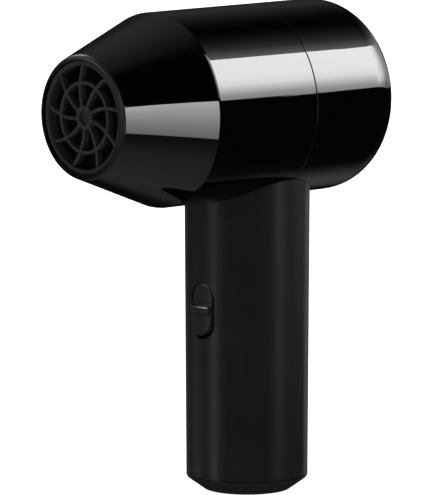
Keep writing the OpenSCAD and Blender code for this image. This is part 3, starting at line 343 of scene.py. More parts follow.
def wovenNet(name, colour, pitch):
    # threads crossing at right angles
    finish = surface(name, colour, 0.62)
    for axis in ("X", "Z"):
        finish.bump(bands(finish, pitch, axis), 0.06)
    finish.colour(finish.noise(500, 3), *tinted(colour, 0.7, 1.2))
    return finish.material


def circuitBoard(name, mask, copper):
    # solder mask over copper traces that run square across the board
    finish = surface(name, mask, 0.3, Coat_Weight=0.35, Coat_Roughness=0.12)
    brick = finish.add("ShaderNodeTexBrick", Vector=finish.stretched(turn=(0, 0, 45)), Scale=420.0,
                       Mortar_Size=0.06, Mortar_Smooth=0.2, Brick_Width=0.9, Row_Height=0.35)
    traces = brick.outputs["Fac"]
    finish.colour(traces, mask, copper, 0.2, 0.8)
    finish.bump(traces, 0.03)
    finish.sheen(700, 3, 0.22, 0.4)
    return finish.material


def openFoam(name, colour):
    # open cells of uneven size
    finish = surface(name, colour, 0.92)
    voronoi = finish.add("ShaderNodeTexVoronoi", Vector=finish.coordinates, Scale=1500.0)
    cells = voronoi.outputs["Distance"]
    finish.colour(cells, *tinted(colour, 1.3, 0.4), 0.1, 0.8)
    finish.bump(cells, 0.25)
    return finish.material


def laminated(name, colour, sheet):
    # thin punched sheets stacked along the barrel
    finish = surface(name, colour, 0.45, Metallic=1.0)
    sheets = bands(finish, sheet, "Y")
    finish.colour(sheets, *tinted(colour, 0.55, 1), 0.05, 0.5)
    finish.bump(sheets, 0.05)
    finish.sheen(600, 4, 0.38, 0.58)
    return finish.material


glossLook = {
    "colour": (0.0003, 0.0003, 0.0003),
    "roughness": 0.025,
    "dust": 0.025,  # how much duller the handled patches are
    "lip": 0.3,  # and how much duller the nose's lip is
    "lipFade": (-0.0749, -0.0741),  # metres along the barrel where that ends
    "ripple": 0.0006,  # mm, the slight unevenness of moulded gloss
    "inside": (0.032, 0.032, 0.034),  # the walls inside are left unpolished
    "insideRoughness": 0.55,
    "insideStart": (-0.0747, -0.0744),  # metres along the barrel
    "insideEnd": (0.0285, 0.0295),
    # the wall's middle is slope * y + offset from the axis on the cone, and level on the barrel
    "wallSlope": 0.3755, "wallOffset": 0.048, "wallLevel": 0.032,
    "wallFade": 0.0001,  # metres each way
}


def glossBlack():
    look = glossLook
    finish = surface("glossBlack", look["colour"], look["roughness"], IOR=1.5)
    along = finish.add("ShaderNodeSeparateXYZ", Vector=finish.coordinates).outputs["Y"]
    radius = finish.add("ShaderNodeVectorMath",
                        Vector=finish.stretched((1, 0, 1), (0, 0, -axisHeight * mm)))
    radius.operation = "LENGTH"
    wall = finish.calculate("MULTIPLY_ADD", along, look["wallSlope"], look["wallOffset"])
    wall = finish.calculate("MINIMUM", wall, look["wallLevel"])
    outwards = finish.calculate("SUBTRACT", radius.outputs["Value"], wall)
    inner = finish.ranged(outwards, 1, 0, -look["wallFade"], look["wallFade"])
    for low, high, reach in ((0, 1, look["insideStart"]), (1, 0, look["insideEnd"])):
        inner = finish.calculate("MULTIPLY", inner, finish.ranged(along, low, high, *reach))
    finish.colour(inner, look["colour"], look["inside"], 0, 1)
    worn = finish.ranged(along, look["lip"], 0, *look["lipFade"])
    smooth, patches = look["roughness"], finish.noise(140, 5, 0.6)
    uneven = finish.ranged(patches, smooth, smooth + look["dust"], 0.45, 0.75)
    polished = finish.calculate("ADD", worn, uneven)
    unpolished = finish.calculate("MULTIPLY", inner, look["insideRoughness"])
    finish.roughness(finish.calculate("MAXIMUM", polished, unpolished))
    finish.bump(finish.noise(70, 1), look["ripple"])
    return finish.material


satinLook = {
    "colour": (0.0071, 0.0071, 0.0073),
    "roughness": 0.36,
    "spread": 0.03,
    "grain": 2600,
    "depth": 0.004,  # mm, the fine moulded texture
}


def satinBlack(name, roughness=satinLook["roughness"], depth=satinLook["depth"]):
    look = satinLook
    finish = surface(name, look["colour"], roughness)
    finish.colour(finish.noise(60, 2), *tinted(look["colour"], 0.9, 1.15))
    finish.sheen(180, 4, roughness - look["spread"], roughness + look["spread"])
    finish.bump(finish.noise(look["grain"], 2), depth)
    return finish.material


finishes = {
    "gloss_black_shell": glossBlack(),
    "satin_black_handle": satinBlack("satinBlackHandle"),
    "satin_black_switch": satinBlack("satinBlackSwitch", 0.3, 0.002),
    "black_grille": moulded("blackGrille", (0.0185, 0.0185, 0.0192), 0.46, grain=1900, depth=0.008),
    "filter_mesh": wovenNet("filterMesh", (0.035, 0.037, 0.039), 0.4),
    "duct_plastic": moulded("ductPlastic", (0.03, 0.03, 0.032), 0.5),
    "isolator_rubber": moulded("isolatorRubber", (0.014,) * 3, 0.72, grain=1200, depth=0.02),
    "motor_steel": machined("motorSteel", (0.42, 0.42, 0.43), 0.36),
    "motor_cap_alloy": machined("motorCapAlloy", (0.55, 0.56, 0.57), 0.42),
    "core_steel": laminated("coreSteel", (0.3, 0.3, 0.32), 0.35),
    "winding_copper": wound("windingCopper", (0.72, 0.27, 0.1), 0.45),
    "bearing_steel": machined("bearingSteel", (0.6, 0.6, 0.62), 0.18),
    "magnet": machined("magnet", (0.2, 0.2, 0.22), 0.4),
    "impeller_plastic": moulded("impellerPlastic", (0.07, 0.072, 0.076), 0.42),
    "wire_red": moulded("wireRed", (0.45, 0.02, 0.015), 0.45),
    "wire_black": moulded("wireBlack", (0.015, 0.015, 0.015), 0.45),
    "screw_steel": machined("screwSteel", (0.5, 0.5, 0.52), 0.28),
    "cell_wrap": moulded("cellWrap", (0.02, 0.16, 0.4), 0.3, mottle=0.05),
    "holder_plastic": moulded("holderPlastic", (0.05, 0.05, 0.052), 0.5),
    "nickel": machined("nickel", (0.62, 0.6, 0.56), 0.25),
    "foam": openFoam("foam", (0.05, 0.05, 0.052)),
    "board_green": circuitBoard("boardGreen", (0.01, 0.09, 0.035), (0.03, 0.19, 0.07)),
    "chip_black": moulded("chipBlack", (0.012, 0.012, 0.012), 0.55),
    "capacitor_sleeve": moulded("capacitorSleeve", (0.02, 0.022, 0.03), 0.3),
    "socket_steel": machined("socketSteel", (0.6, 0.6, 0.61), 0.22),
    "light_pipe": moulded("lightPipe", (0.75, 0.76, 0.74), 0.25, mottle=0.03),
    "plunger_plastic": moulded("plungerPlastic", (0.7, 0.68, 0.62), 0.35, mottle=0.04),
    "spring_steel": machined("springSteel", (0.5, 0.5, 0.52), 0.25),
    "switch_plastic": moulded("switchPlastic", (0.012, 0.012, 0.013), 0.5),
    "terminal_brass": machined("terminalBrass", (0.7, 0.48, 0.18), 0.3),
}
nodesOf = {
    "gloss_black_shell": "front_housing rear_housing",
    "satin_black_handle": "handle_shell base_cap",
    "satin_black_switch": "rocker_button",
    "black_grille": "outlet_grille intake_grille",
    "filter_mesh": "intake_filter",
    "duct_plastic": "fan_duct stator_vanes tail_cone",
    "isolator_rubber": "front_isolator rear_isolator",
    "motor_steel": "motor_can",
    "motor_cap_alloy": "motor_front_cap motor_rear_cap",
    "core_steel": "stator_core",
    "winding_copper": "stator_windings",
    "bearing_steel": "front_bearing rear_bearing motor_shaft impeller_nut",
    "magnet": "rotor_magnet",
    "impeller_plastic": "impeller",
    "wire_red": "motor_wires",
    "wire_black": "charging_wires",
    "screw_steel": "neck_screws base_screws",
    "cell_wrap": "battery_cell_left battery_cell_right",
    "holder_plastic": "cell_holder_lower cell_holder_upper",
    "nickel": "cell_link cell_tabs",
    "foam": "holder_pad",
    "board_green": "control_board charging_board",
    "chip_black": "power_transistors controller_chip",
    "capacitor_sleeve": "capacitors",
    "socket_steel": "charging_socket",
    "light_pipe": "charge_light_pipe",
    "plunger_plastic": "switch_plunger",
    "spring_steel": "plunger_spring",
    "switch_plastic": "switch_housing",
    "terminal_brass": "switch_terminals contact_lever",
}
for slotName, nodeNames in nodesOf.items():
    for nodeName in nodeNames.split():
        for materialSlot in nodes[nodeName].material_slots:
            materialSlot.material = finishes[slotName]
print("materials:", len(finishes))


# camera, floor and lights

cameraFit = {
    "azimuth": 47.2,
    "elevation": 8.04,
    "lens": 374.6,
    "distance": 1764.6,  # mm
    "target": (0, 0, 85),
    "aim": (-10.14, -1.6),  # mm to the right of and above the target
    "clip": (0.05, 40),  # metres
}


def addCamera():
    a, e = math.radians(cameraFit["azimuth"]), math.radians(cameraFit["elevation"])
    right = Vector((math.cos(a), math.sin(a), 0))
    back = Vector((math.sin(a) * math.cos(e), -math.cos(a) * math.cos(e), math.sin(e)))
    up = back.cross(right)
    sideways, upwards = cameraFit["aim"]
    aim = at(*cameraFit["target"]) + right * sideways * mm + up * upwards * mm
    camera = bpy.data.objects.new("camera", bpy.data.cameras.new("camera"))
    camera.data.lens = cameraFit["lens"]
    camera.data.clip_start, camera.data.clip_end = cameraFit["clip"]
    turn = Matrix((right, up, back)).transposed().to_4x4()
    camera.matrix_world = Matrix.Translation(aim + back * cameraFit["distance"] * mm) @ turn
    scene.collection.objects.link(camera)
    scene.camera = camera


studio = {
    "seen": 1.0,  # the backdrop as the camera sees it
    "ambient": 0.8,  # the soft fill that lands on matt surfaces
    "reflected": 0.008,  # the dim room that shows in gloss
}


def addWorld():
    # white behind the object, soft fill on matt surfaces, a dark room in reflections
    scene.world = bpy.data.worlds.new("studio")
    scene.world.use_nodes = True
    tree = scene.world.node_tree
    tree.nodes.clear()
    path = tree.nodes.new("ShaderNodeLightPath")
    strength = None
    for ray, value in (("Is Camera Ray", studio["seen"]), ("Is Glossy Ray", studio["reflected"])):
        chosen = tree.nodes.new("ShaderNodeMapRange")
        tree.links.new(path.outputs[ray], chosen.inputs["Value"])
        chosen.inputs["To Min"].default_value = studio["ambient"]
        chosen.inputs["To Max"].default_value = value
        if strength:
            tree.links.new(strength, chosen.inputs["To Min"])
        strength = chosen.outputs["Result"]
    backdrop = tree.nodes.new("ShaderNodeBackground")
    backdrop.inputs["Color"].default_value = (1, 1, 1, 1)
    tree.links.new(strength, backdrop.inputs["Strength"])
    output = tree.nodes.new("ShaderNodeOutputWorld")
    tree.links.new(backdrop.outputs["Background"], output.inputs["Surface"])


floorLook = {
    "radius": 9,  # metres
    "drop": 0.0002,  # metres under the foot
    "sockets": {
        "Base Color": (0.93, 0.93, 0.93, 1), "Roughness": 0.9, "Specular IOR Level": 0.0,
        "Emission Color": (1, 1, 1, 1), "Emission Strength": 1.0,
    },
}


def addFloor():
    deselectAll()
    bpy.ops.mesh.primitive_circle_add(vertices=96, radius=floorLook["radius"], fill_type="NGON",
                                      location=(0, 0, -floorLook["drop"]))
    floor = nameActive("floor")
    material = bpy.data.materials.new("paleFloor")
    material.use_nodes = True
    shader = material.node_tree.nodes["Principled BSDF"]
    for key, value in floorLook["sockets"].items():
        shader.inputs[key].default_value = value
    floor.data.materials.append(material)
    floor.visible_glossy = False


litBarrel = bpy.data.collections.new("litBarrel")  # what the long bands of light fall on
litHandle = bpy.data.collections.new("litHandle")  # what the handle's own strips fall on
litSwitch = bpy.data.collections.new("litSwitch")  # what the light on the thumb ridge falls on
litWorks = bpy.data.collections.new("litWorks")  # what shows through the outlet grille
for nodeName in ("fan_duct", "impeller", "impeller_nut", "stator_vanes", "front_isolator"):
    litWorks.objects.link(nodes[nodeName])


def glowing(name, corners, lights, paint, seeThrough):
    # a quad between four corners, in mm, that shines on one group of pieces and isn't seen itself
    a, b, c, d = (Vector(p) * mm for p in corners)
    deselectAll()
    bpy.ops.mesh.primitive_plane_add(size=1)
    panel = nameActive(name)
    for point, spot in zip(panel.data.vertices, (a, b, d, c)):
        point.co = spot
    material = bpy.data.materials.new(name)
    material.use_nodes = True
    tree = material.node_tree
    tree.nodes.clear()
    glow = tree.nodes.new("ShaderNodeEmission")
    paint(tree, tree.nodes.new("ShaderNodeUVMap").outputs["UV"], glow)
    shine = glow.outputs["Emission"]
    if seeThrough:
        added = tree.nodes.new("ShaderNodeAddShader")
        tree.links.new(shine, added.inputs[0])
        tree.links.new(tree.nodes.new("ShaderNodeBsdfTransparent").outputs["BSDF"], added.inputs[1])
        shine = added.outputs["Shader"]
    output = tree.nodes.new("ShaderNodeOutputMaterial")
    tree.links.new(shine, output.inputs["Surface"])
    panel.data.materials.append(material)
    panel.visible_camera = panel.visible_shadow = False
    panel.light_linking.receiver_collection = lights


def addPanel(name, corners, stops, fade, lights, seeThrough=False):
    # stops are (place, strength) from the first edge to the last; fade runs along those edges
    def paint(tree, place, glow):
        split = tree.nodes.new("ShaderNodeSeparateXYZ")
        tree.links.new(place, split.inputs["Vector"])
        peak = max(strength for _, strength in stops)
        across = [(spot, strength / peak) for spot, strength in stops]
        ramps = []
        for side, marks in (("Y", across), ("X", fade)):
            ramp = tree.nodes.new("ShaderNodeValToRGB")
            tree.links.new(split.outputs[side], ramp.inputs["Fac"])
            elements = ramp.color_ramp.elements
            for element, (_, strength) in zip(elements, (marks[0], marks[-1])):
                element.color = (strength,) * 3 + (1,)
            for spot, strength in marks[1:-1]:
                elements.new(spot).color = (strength,) * 3 + (1,)
            ramps.append(ramp.outputs["Color"])
        scaled = tree.nodes.new("ShaderNodeMath")
        scaled.operation = "MULTIPLY"
        tree.links.new(ramps[1], scaled.inputs[0])
        scaled.inputs[1].default_value = peak
        tree.links.new(ramps[0], glow.inputs["Color"])
        tree.links.new(scaled.outputs["Value"], glow.inputs["Strength"])
    glowing(name, corners, lights, paint, seeThrough)


glowDistance = 3000  # mm


def addGlow(name, azimuth, elevation, reach, strength, lights):
    # a soft round glow far off in one direction
    a, e = math.radians(azimuth), math.radians(elevation)
    away = Vector((math.cos(a) * math.cos(e), math.sin(a) * math.cos(e), math.sin(e)))
    across = Vector((-math.sin(a), math.cos(a), 0))
    upward = away.cross(across)
    half = glowDistance * math.tan(math.radians(reach))
    corners = [away * glowDistance + across * half * i + upward * half * j
               for i, j in ((-1, -1), (1, -1), (1, 1), (-1, 1))]

    def paint(tree, place, glow):
        centred = tree.nodes.new("ShaderNodeVectorMath")
        centred.operation = "DISTANCE"
        tree.links.new(place, centred.inputs[0])
        centred.inputs[1].default_value = (0.5, 0.5, 0)
        fall = tree.nodes.new("ShaderNodeMapRange")
        fall.interpolation_type = "SMOOTHSTEP"
        tree.links.new(centred.outputs["Value"], fall.inputs["Value"])
        for socket, value in (("From Max", 0.5), ("To Min", strength), ("To Max", 0)):
            fall.inputs[socket].default_value = value
        tree.links.new(fall.outputs["Result"], glow.inputs["Strength"])
    glowing(name, corners, lights, paint, seeThrough=True)


bandStops = [(0, 4.5), (0.1, 5.7), (0.2, 9.2), (0.33, 13.8), (0.5, 15.2), (1, 14.0)]
fadeStops = [(0, 1.7), (0.1, 1.1), (0.25, 0.4), (0.4, 0.17), (0.55, 0.07), (0.7, 0.025),
             (0.85, 0.008), (1, 0)]
softStops = [(0, 0.1), (0.25, 1.5), (0.7, 1.9), (1, 0.1)]
even = [(0, 1), (1, 1)]
panels = {
    # each has four corners in mm, its stops and its fade
    # the broad band: along the barrel's side, where the camera sees it, and round the rear edge
    "sideBand": ([(634, 15, 294), (634, 440, 294), (311, 440, 705), (311, 15, 705)], bandStops,
                 [(0, 0.15), (0.6, 0.3), (0.95, 0.5), (1, 1)]),
    "mainBand": ([(634, 440, 294), (644, 612, 235), (336, 612, 691), (311, 440, 705)],
                 bandStops, even),
    "rearBand": ([(2150, 2000, 476), (229, 2000, 136), (26, 2000, 957), (1095, 2000, 1960)],
                 bandStops, [(0, 1), (0.33, 0.85), (0.8, 0.4), (1, 0.15)]),
    "edgeBand": ([(229, 2000, 136), (-1870, 2000, -142), (-1730, 2000, -16), (26, 2000, 957)],
                 bandStops, [(0, 0.15), (0.16, 0.1), (0.35, 0.05), (0.51, 0.025), (0.7, 0.01),
                             (0.85, 0.003), (1, 0)]),
    # the soft fall-off above it
    "mainFade": ([(311, 440, 705), (337, 620, 690), (-155, 640, 794), (-155, 440, 794)],
                 fadeStops, even),
    "rearFade": ([(1095, 2000, 1960), (26, 2000, 957), (-300, 2000, 2100), (530, 2000, 2910)],
                 fadeStops, [(0, 1), (1, 0.8)]),
    "edgeFade": ([(26, 2000, 957), (-1730, 2000, -16), (-1950, 2000, 800), (-300, 2000, 2100)],
                 fadeStops, [(0, 0.8), (0.5, 0.3), (1, 0.05)]),
    # the band on the cone
    "coneBand": ([(332, -74, 6), (332, -10, -43), (332, -22, 184), (332, -90, 257)],
                 [(0, 2.9), (0.25, 3.9), (0.5, 5.3), (0.75, 7.2), (1, 9.3)], even),
    # dimmer bands for the sides that face away from the camera
    "leftBand": ([(-642, -440, 232), (-652, -900, 170), (-378, -900, 604), (-313, -440, 644)],
                 softStops, even),
    "farBand": ([(642, -900, 170), (642, -440, 232), (313, -440, 644), (378, -900, 604)],
                softStops, even),
}
glows = {
    # azimuth, elevation and reach in degrees, and strength
    "underCone": (-66, -78, 58, 0.33),
    "besideCone": (-10, -40, 45, 0.11),
    "underBarrel": (116, -41, 24, 0.2),
    "overCone": (200, 60, 54, 0.27),
    "overBarrel": (133, 27, 26, 0.07),
    "nose": (-92, 8, 50, 0.6),
    "lipTop": (178, 40, 17, 6.5),
    "lipSide": (-31, -8, 22, 1.2),
}
worksGlow = (-80, 10, 50, 6)  # falls on what shows through the outlet grille
handleStrips = {
    "rightStrip": ([(300, 62, -40), (300, 62, 190), (300, 135, 190), (300, 135, -40)],
                   [(0, 1.0), (0.5, 1.5), (1, 1.4)], [(0, 0.6), (1, 1)]),
    "rightWash": ([(290, 250, -60), (290, 250, 120), (60, 370, 120), (60, 370, -60)],
                  [(0, 0.36), (1, 0.54)], [(0, 0.05), (0.4, 0.3), (1, 1)]),
    "leftStrip": ([(-58, -310, -120), (-58, -310, 130), (-112, -300, 130), (-112, -300, -120)],
                  [(0, 1.9), (1, 1.9)], [(0, 1), (1, 0.5)]),
    "leftWash": ([(-260, -250, -120), (-260, -250, 60), (-350, -90, 60), (-350, -90, -120)],
                 [(0, 0.45), (1, 0.3)], [(0, 1), (0.7, 0.4), (1, 0.05)]),
    "backRight": ([(-25, 296, -140), (-25, 296, 150), (-78, 288, 150), (-78, 288, -140)],
                  [(0, 0.8), (1, 0.8)], even),
    "backLeft": ([(-287, 88, -140), (-287, 88, 150), (-298, 36, 150), (-298, 36, -140)],
                 [(0, 0.25), (1, 0.25)], [(0, 1), (1, 0.6)]),
}
ridgeLight = ([(-110, -217, 188), (-172, -165, 188), (-172, -165, 224), (-110, -217, 224)],
              [(0, 45), (1, 45)], even)  # falls on the rocker's thumb ridge

addCamera()
addWorld()
addFloor()
for panelName, (corners, stops, fade) in panels.items():
    addPanel(panelName, corners, stops, fade, litBarrel)
for panelName, (corners, stops, fade) in handleStrips.items():
    addPanel(panelName, corners, stops, fade, litHandle, seeThrough=True)
addPanel("ridgeLight", *ridgeLight, litSwitch, seeThrough=True)
for glowName, (azimuth, elevation, reach, strength) in glows.items():
    addGlow(glowName, azimuth, elevation, reach, strength, litBarrel)
addGlow("worksGlow", *worksGlow, litWorks)
print("stage set:", len(panels) + len(handleStrips) + len(glows) + 2, "panels")


# barrel: sizes in mm, and distances run from the nose's face

barrel = {
    "radius": 33.0, "bore": 31.0,
    "coneLength": 32.8, "coneSlope": 20.58,  # mm, degrees
    "coneEdge": 2.5,  # rounding where the cone meets the cylinder
    "noseRound": 2.0, "noseRoundAt": (19.3, 2.0),
    "seat": 19.05, "seatDepth": 4.05, "ledge": 18.15, "ledgeEnd": 5.2,  # for the outlet grille
    "coneInside": (20.5, 5.2), "coneInsideEnd": 33.16,
    "seam": 77.05, "seamEdge": 0.18, "lip": 32.0, "lipGap": 0.05, "lipSeat": 72.25,
    "stop": 28.8, "frontStop": (44.25, 45.75), "rearStop": (104.25, 105.75),  # for the isolators
    "outerSteps": (45, 53, 61, 69), "innerSteps": (62, 52),  # loops along the straight walls
}
neck = {
    # four screws through the handle's deck, and the motor wires' way; heights are from the foot
    "across": (-9, 9), "along": (-10, 10),
    "boss": 3.0, "bossReach": (92.45, 104.2), "pilot": 1.12, "pilotReach": (90, 98.6),
    "wireHole": 3.6, "wireAt": -11, "wireReach": (90, 112),
    "screwHole": 1.4, "deckReach": (88, 94),
}


def addNeck(shell, y):
    # bosses for two of the neck screws, one each side, with their pilot holes
    for part, sides, operation in (("boss", 48, "UNION"), ("pilot", 24, "DIFFERENCE")):
        rods = [post(part, neck[part], x, y, neck[part + "Reach"], sides) for x in neck["across"]]
        combine(shell, rods, operation)


def stopRing(reach):
    # a low ring inside the barrel that an isolator rests on
    near, far = reach
    bore, stop = barrel["bore"], barrel["stop"]
    return [(bore, far), (stop, far), (stop, near), (bore, near)]


def makeFrontHousing():
    b = barrel
    edge, seam, socket = b["coneEdge"], b["seam"], b["lip"] + b["lipGap"]
    lean = edge * math.tan(math.radians(b["coneSlope"]) / 2)
    profile = [(b["seat"], 0), (b["noseRoundAt"][0], 0)]
    profile += corner(*b["noseRoundAt"], b["noseRound"], -84, -b["coneSlope"], 12)
    profile += corner(b["radius"] - edge, b["coneLength"] + lean, edge, -b["coneSlope"], 0)
    profile += [(b["radius"], y) for y in b["outerSteps"]]
    profile += corner(b["radius"] - b["seamEdge"], seam - b["seamEdge"], b["seamEdge"], 0, 90, 4)
    profile += [(socket, seam), (socket, b["lipSeat"])]
    profile += [(b["bore"], y) for y in (b["lipSeat"], *b["innerSteps"])]
    profile += stopRing(b["frontStop"])
    profile += [(b["bore"], b["coneInsideEnd"]), b["coneInside"],
                (b["ledge"], b["ledgeEnd"]), (b["ledge"], b["seatDepth"]),
                (b["seat"], b["seatDepth"]), (b["seat"], 0)]
    shell = turnOnLathe("frontHousing", profile, segments=256)
    addNeck(shell, neck["along"][0])
    wireHole = post("wireHole", neck["wireHole"], 0, neck["wireAt"], neck["wireReach"])
    combine(shell, [wireHole], "DIFFERENCE")
    finishPiece(shell, "casing", "gloss_black_shell", ["front_housing"])


rear = {
    "end": 120.7, "round": 14.5, "insideRound": 12.5, "start": 77.35, "lipStart": 72.4,
    "bead": 0.25, "beadAt": (73.4, 73.75, 73.93, 74.3),  # the snap bead on the lip
    "seat": 17.65, "seatFrom": 118.05, "seatEdge": 0.3,  # for the intake grille
    "filterSeat": 16.0, "filterFrom": 116.6, "throat": 14.75,
    "ringOutside": 19.25, "ringFrom": 115.4, "ringReach": 12.45,  # the wall round the throat
    "outerSteps": (80, 88, 96), "innerSteps": (92, 82),
}


def makeRearHousing():
    b, r = barrel, rear
    rounding = (b["radius"] - r["round"], r["end"] - r["round"])
    beadStart, beadRise, beadFall, beadEnd = r["beadAt"]
    bead = b["lip"] + r["bead"]
    profile = [(b["bore"], r["lipStart"]), (b["lip"], r["lipStart"]), (b["lip"], beadStart),
               (bead, beadRise), (bead, beadFall), (b["lip"], beadEnd), (b["lip"], r["start"])]
    profile += corner(b["radius"] - b["seamEdge"], r["start"] + b["seamEdge"], b["seamEdge"],
                      -90, 0, 4)
    profile += [(b["radius"], y) for y in r["outerSteps"]]
    profile += corner(*rounding, r["round"], 0, 88, 32)
    profile += corner(r["seat"] + r["seatEdge"], r["end"] - r["seatEdge"], r["seatEdge"],
                      90, 180, 4)
    profile += [(r["seat"], r["seatFrom"]), (r["filterSeat"], r["seatFrom"]),
                (r["filterSeat"], r["filterFrom"]), (r["throat"], r["filterFrom"]),
                (r["throat"], r["ringFrom"]), (r["ringOutside"], r["ringFrom"]),
                (r["ringOutside"], rounding[1] + r["ringReach"])]
    profile += corner(*rounding, r["insideRound"], 84, 0, 16)
    profile += stopRing(b["rearStop"])
    profile += [(b["bore"], y) for y in (*r["innerSteps"], r["lipStart"])]
    shell = turnOnLathe("rearHousing", profile, segments=256)
    addNeck(shell, neck["along"][1])
    finishPiece(shell, "casing", "gloss_black_shell", ["rear_housing"])


# grilles

def ring(name, inner, outer, front, back, edge):
    # a flat ring round the barrel's axis with rounded edges
    profile, first, last = [], front + edge, back - edge
    for radius, distance, start in ((outer - edge, first, -90), (outer - edge, last, 0),
                                    (inner + edge, last, 90), (inner + edge, first, 180)):
        profile += corner(radius, distance, edge, start, start + 90, 3)
    return turnOnLathe(name, profile + profile[:1])


def turnedCopy(piece, angle):
    # a copy with its own mesh, turned about the barrel's axis
    copy = piece.copy()
    copy.data = piece.data.copy()
    scene.collection.objects.link(copy)
    turnAbout(copy, at(0, 0, axisHeight), angle, "Y")
    return copy


outlet = {
    "radius": 19.0, "rim": 1.6, "rimEdge": 0.3, "front": 0.8, "back": 4.0,
    "spokes": 9, "spokeWidth": 1.2, "spokeFront": 1.3, "spokeBack": 3.7, "edge": 0.22,
    "bend": 20.0, "sweep": -44, "turn": 28.5,  # the spokes' bend in mm, the rest in degrees
    "hubStart": 3.4, "midRing": 11.7, "hubRing": (2.5, 4.0), "plate": 3.25, "plateFrom": 2.5,
}


def makeOutletGrille():
    o = outlet
    half = o["spokeWidth"] / 2
    frontY, backY = noseFace + o["spokeFront"] + hair, noseFace + o["spokeBack"] - hair
    # one spoke: a small upright face drawn out of the hub and spun round its bend
    root = at(o["hubStart"] - half, (frontY + backY) / 2, axisHeight)
    deselectAll()
    bpy.ops.mesh.primitive_plane_add(size=1, location=root, rotation=(0, math.pi / 2, 0))
    spoke = nameActive("spoke")
    edit()
    bpy.ops.transform.resize(value=(1, (backY - frontY) * mm, o["spokeWidth"] * mm),
                             center_override=root)
    bpy.ops.mesh.extrude_region_move(TRANSFORM_OT_translate={"value": at(half, 0, 0)})
    bpy.ops.mesh.spin(steps=28, angle=math.radians(o["sweep"]), axis=(0, 1, 0),
                      center=at(o["hubStart"], 0, axisHeight - o["bend"]))
    bpy.ops.mesh.select_all(action="SELECT")
    bpy.ops.mesh.remove_doubles(threshold=weld * mm)
    bpy.ops.mesh.normals_make_consistent(inside=False)
    stopEditing()
    softenEdges(spoke, o["edge"], 40)
    spokes = [turnedCopy(spoke, -o["turn"] + 360 * k / o["spokes"]) for k in range(o["spokes"])]
    bpy.data.objects.remove(spoke, do_unlink=True)
    grille = ring("outletGrille", o["radius"] - o["rim"], o["radius"], o["front"], o["back"],
                  o["rimEdge"])
    rings = [ring(name, inner, outer, o["spokeFront"], o["spokeBack"], o["edge"])
             for name, inner, outer in (("midRing", o["midRing"] - half, o["midRing"] + half),
                                        ("hubRing", *o["hubRing"]))]
    plate = rod("hubPlate", o["plate"], at(0, noseFace + o["plateFrom"], axisHeight),
                at(0, backY - hair, axisHeight), 64)
    combine(grille, spokes + rings + [plate], "UNION")
    finishPiece(grille, "casing", "black_grille", ["outlet_grille"], 35)


intake = {
    "radius": 17.6, "rim": 1.8, "rimEdge": 0.3, "front": 118.1, "back": 120.3,
    "hub": 2.6, "hubEdge": 0.3, "rings": (5.7, 9.4, 13.1), "edge": 0.22,
    "spokes": 12, "spokeWidth": 1.2, "spokeBack": 119.9,
    "spokeStart": 1.4,  # every other spoke starts at the first ring instead
}


def makeIntakeGrille():
    i = intake
    half = i["spokeWidth"] / 2
    frontY, backY = noseFace + i["front"], noseFace + i["spokeBack"]
    grille = ring("intakeGrille", i["radius"] - i["rim"], i["radius"], i["front"], i["back"],
                  i["rimEdge"])
    parts = [ring("ring", r - half, r + half, i["front"], i["spokeBack"], i["edge"])
             for r in i["rings"]]
    hub = rod("hub", i["hub"], at(0, frontY, axisHeight), at(0, backY, axisHeight), 64)
    softenEdges(hub, i["hubEdge"], 60)
    parts.append(hub)
    bars = []
    for start in (i["spokeStart"], i["rings"][0]):
        bar = block("bar", at(start, frontY + hair, axisHeight - half),
                    at(i["radius"] - i["rim"] / 2, backY - hair, axisHeight + half))
        softenEdges(bar, i["edge"], 60)
        bars.append(bar)
    parts += [turnedCopy(bars[k % 2], 360 * k / i["spokes"]) for k in range(i["spokes"])]
    for bar in bars:
        bpy.data.objects.remove(bar, do_unlink=True)
    combine(grille, parts, "UNION")
    finishPiece(grille, "casing", "black_grille", ["intake_grille"], 35)


# handle: from here on, heights are from the foot

handle = {
    "footRadius": 20.9, "footFrom": 5.35, "topRadius": 21.5, "topAt": 111.965, "bore": 19.2,
    "outerSteps": (20, 36, 50, 57, 64, 71, 78, 92, 99, 104), "innerSteps": (72, 55, 30),
    "deck": (90.0, 92.4), "edge": 0.12, "saddle": 33.1, "saddleReach": 60, "saddleEdge": 0.35,
    "opening": (11.2, 19.2), "openingHeight": 63.5, "openingReach": (-16.4, -24),
    "boss": 2.8, "bossReach": (11.6, 19.1), "bossAt": 11.0, "web": 2.4, "webBite": 0.4,
    "pilot": 1.12, "pilotReach": (10, 18.3),
}


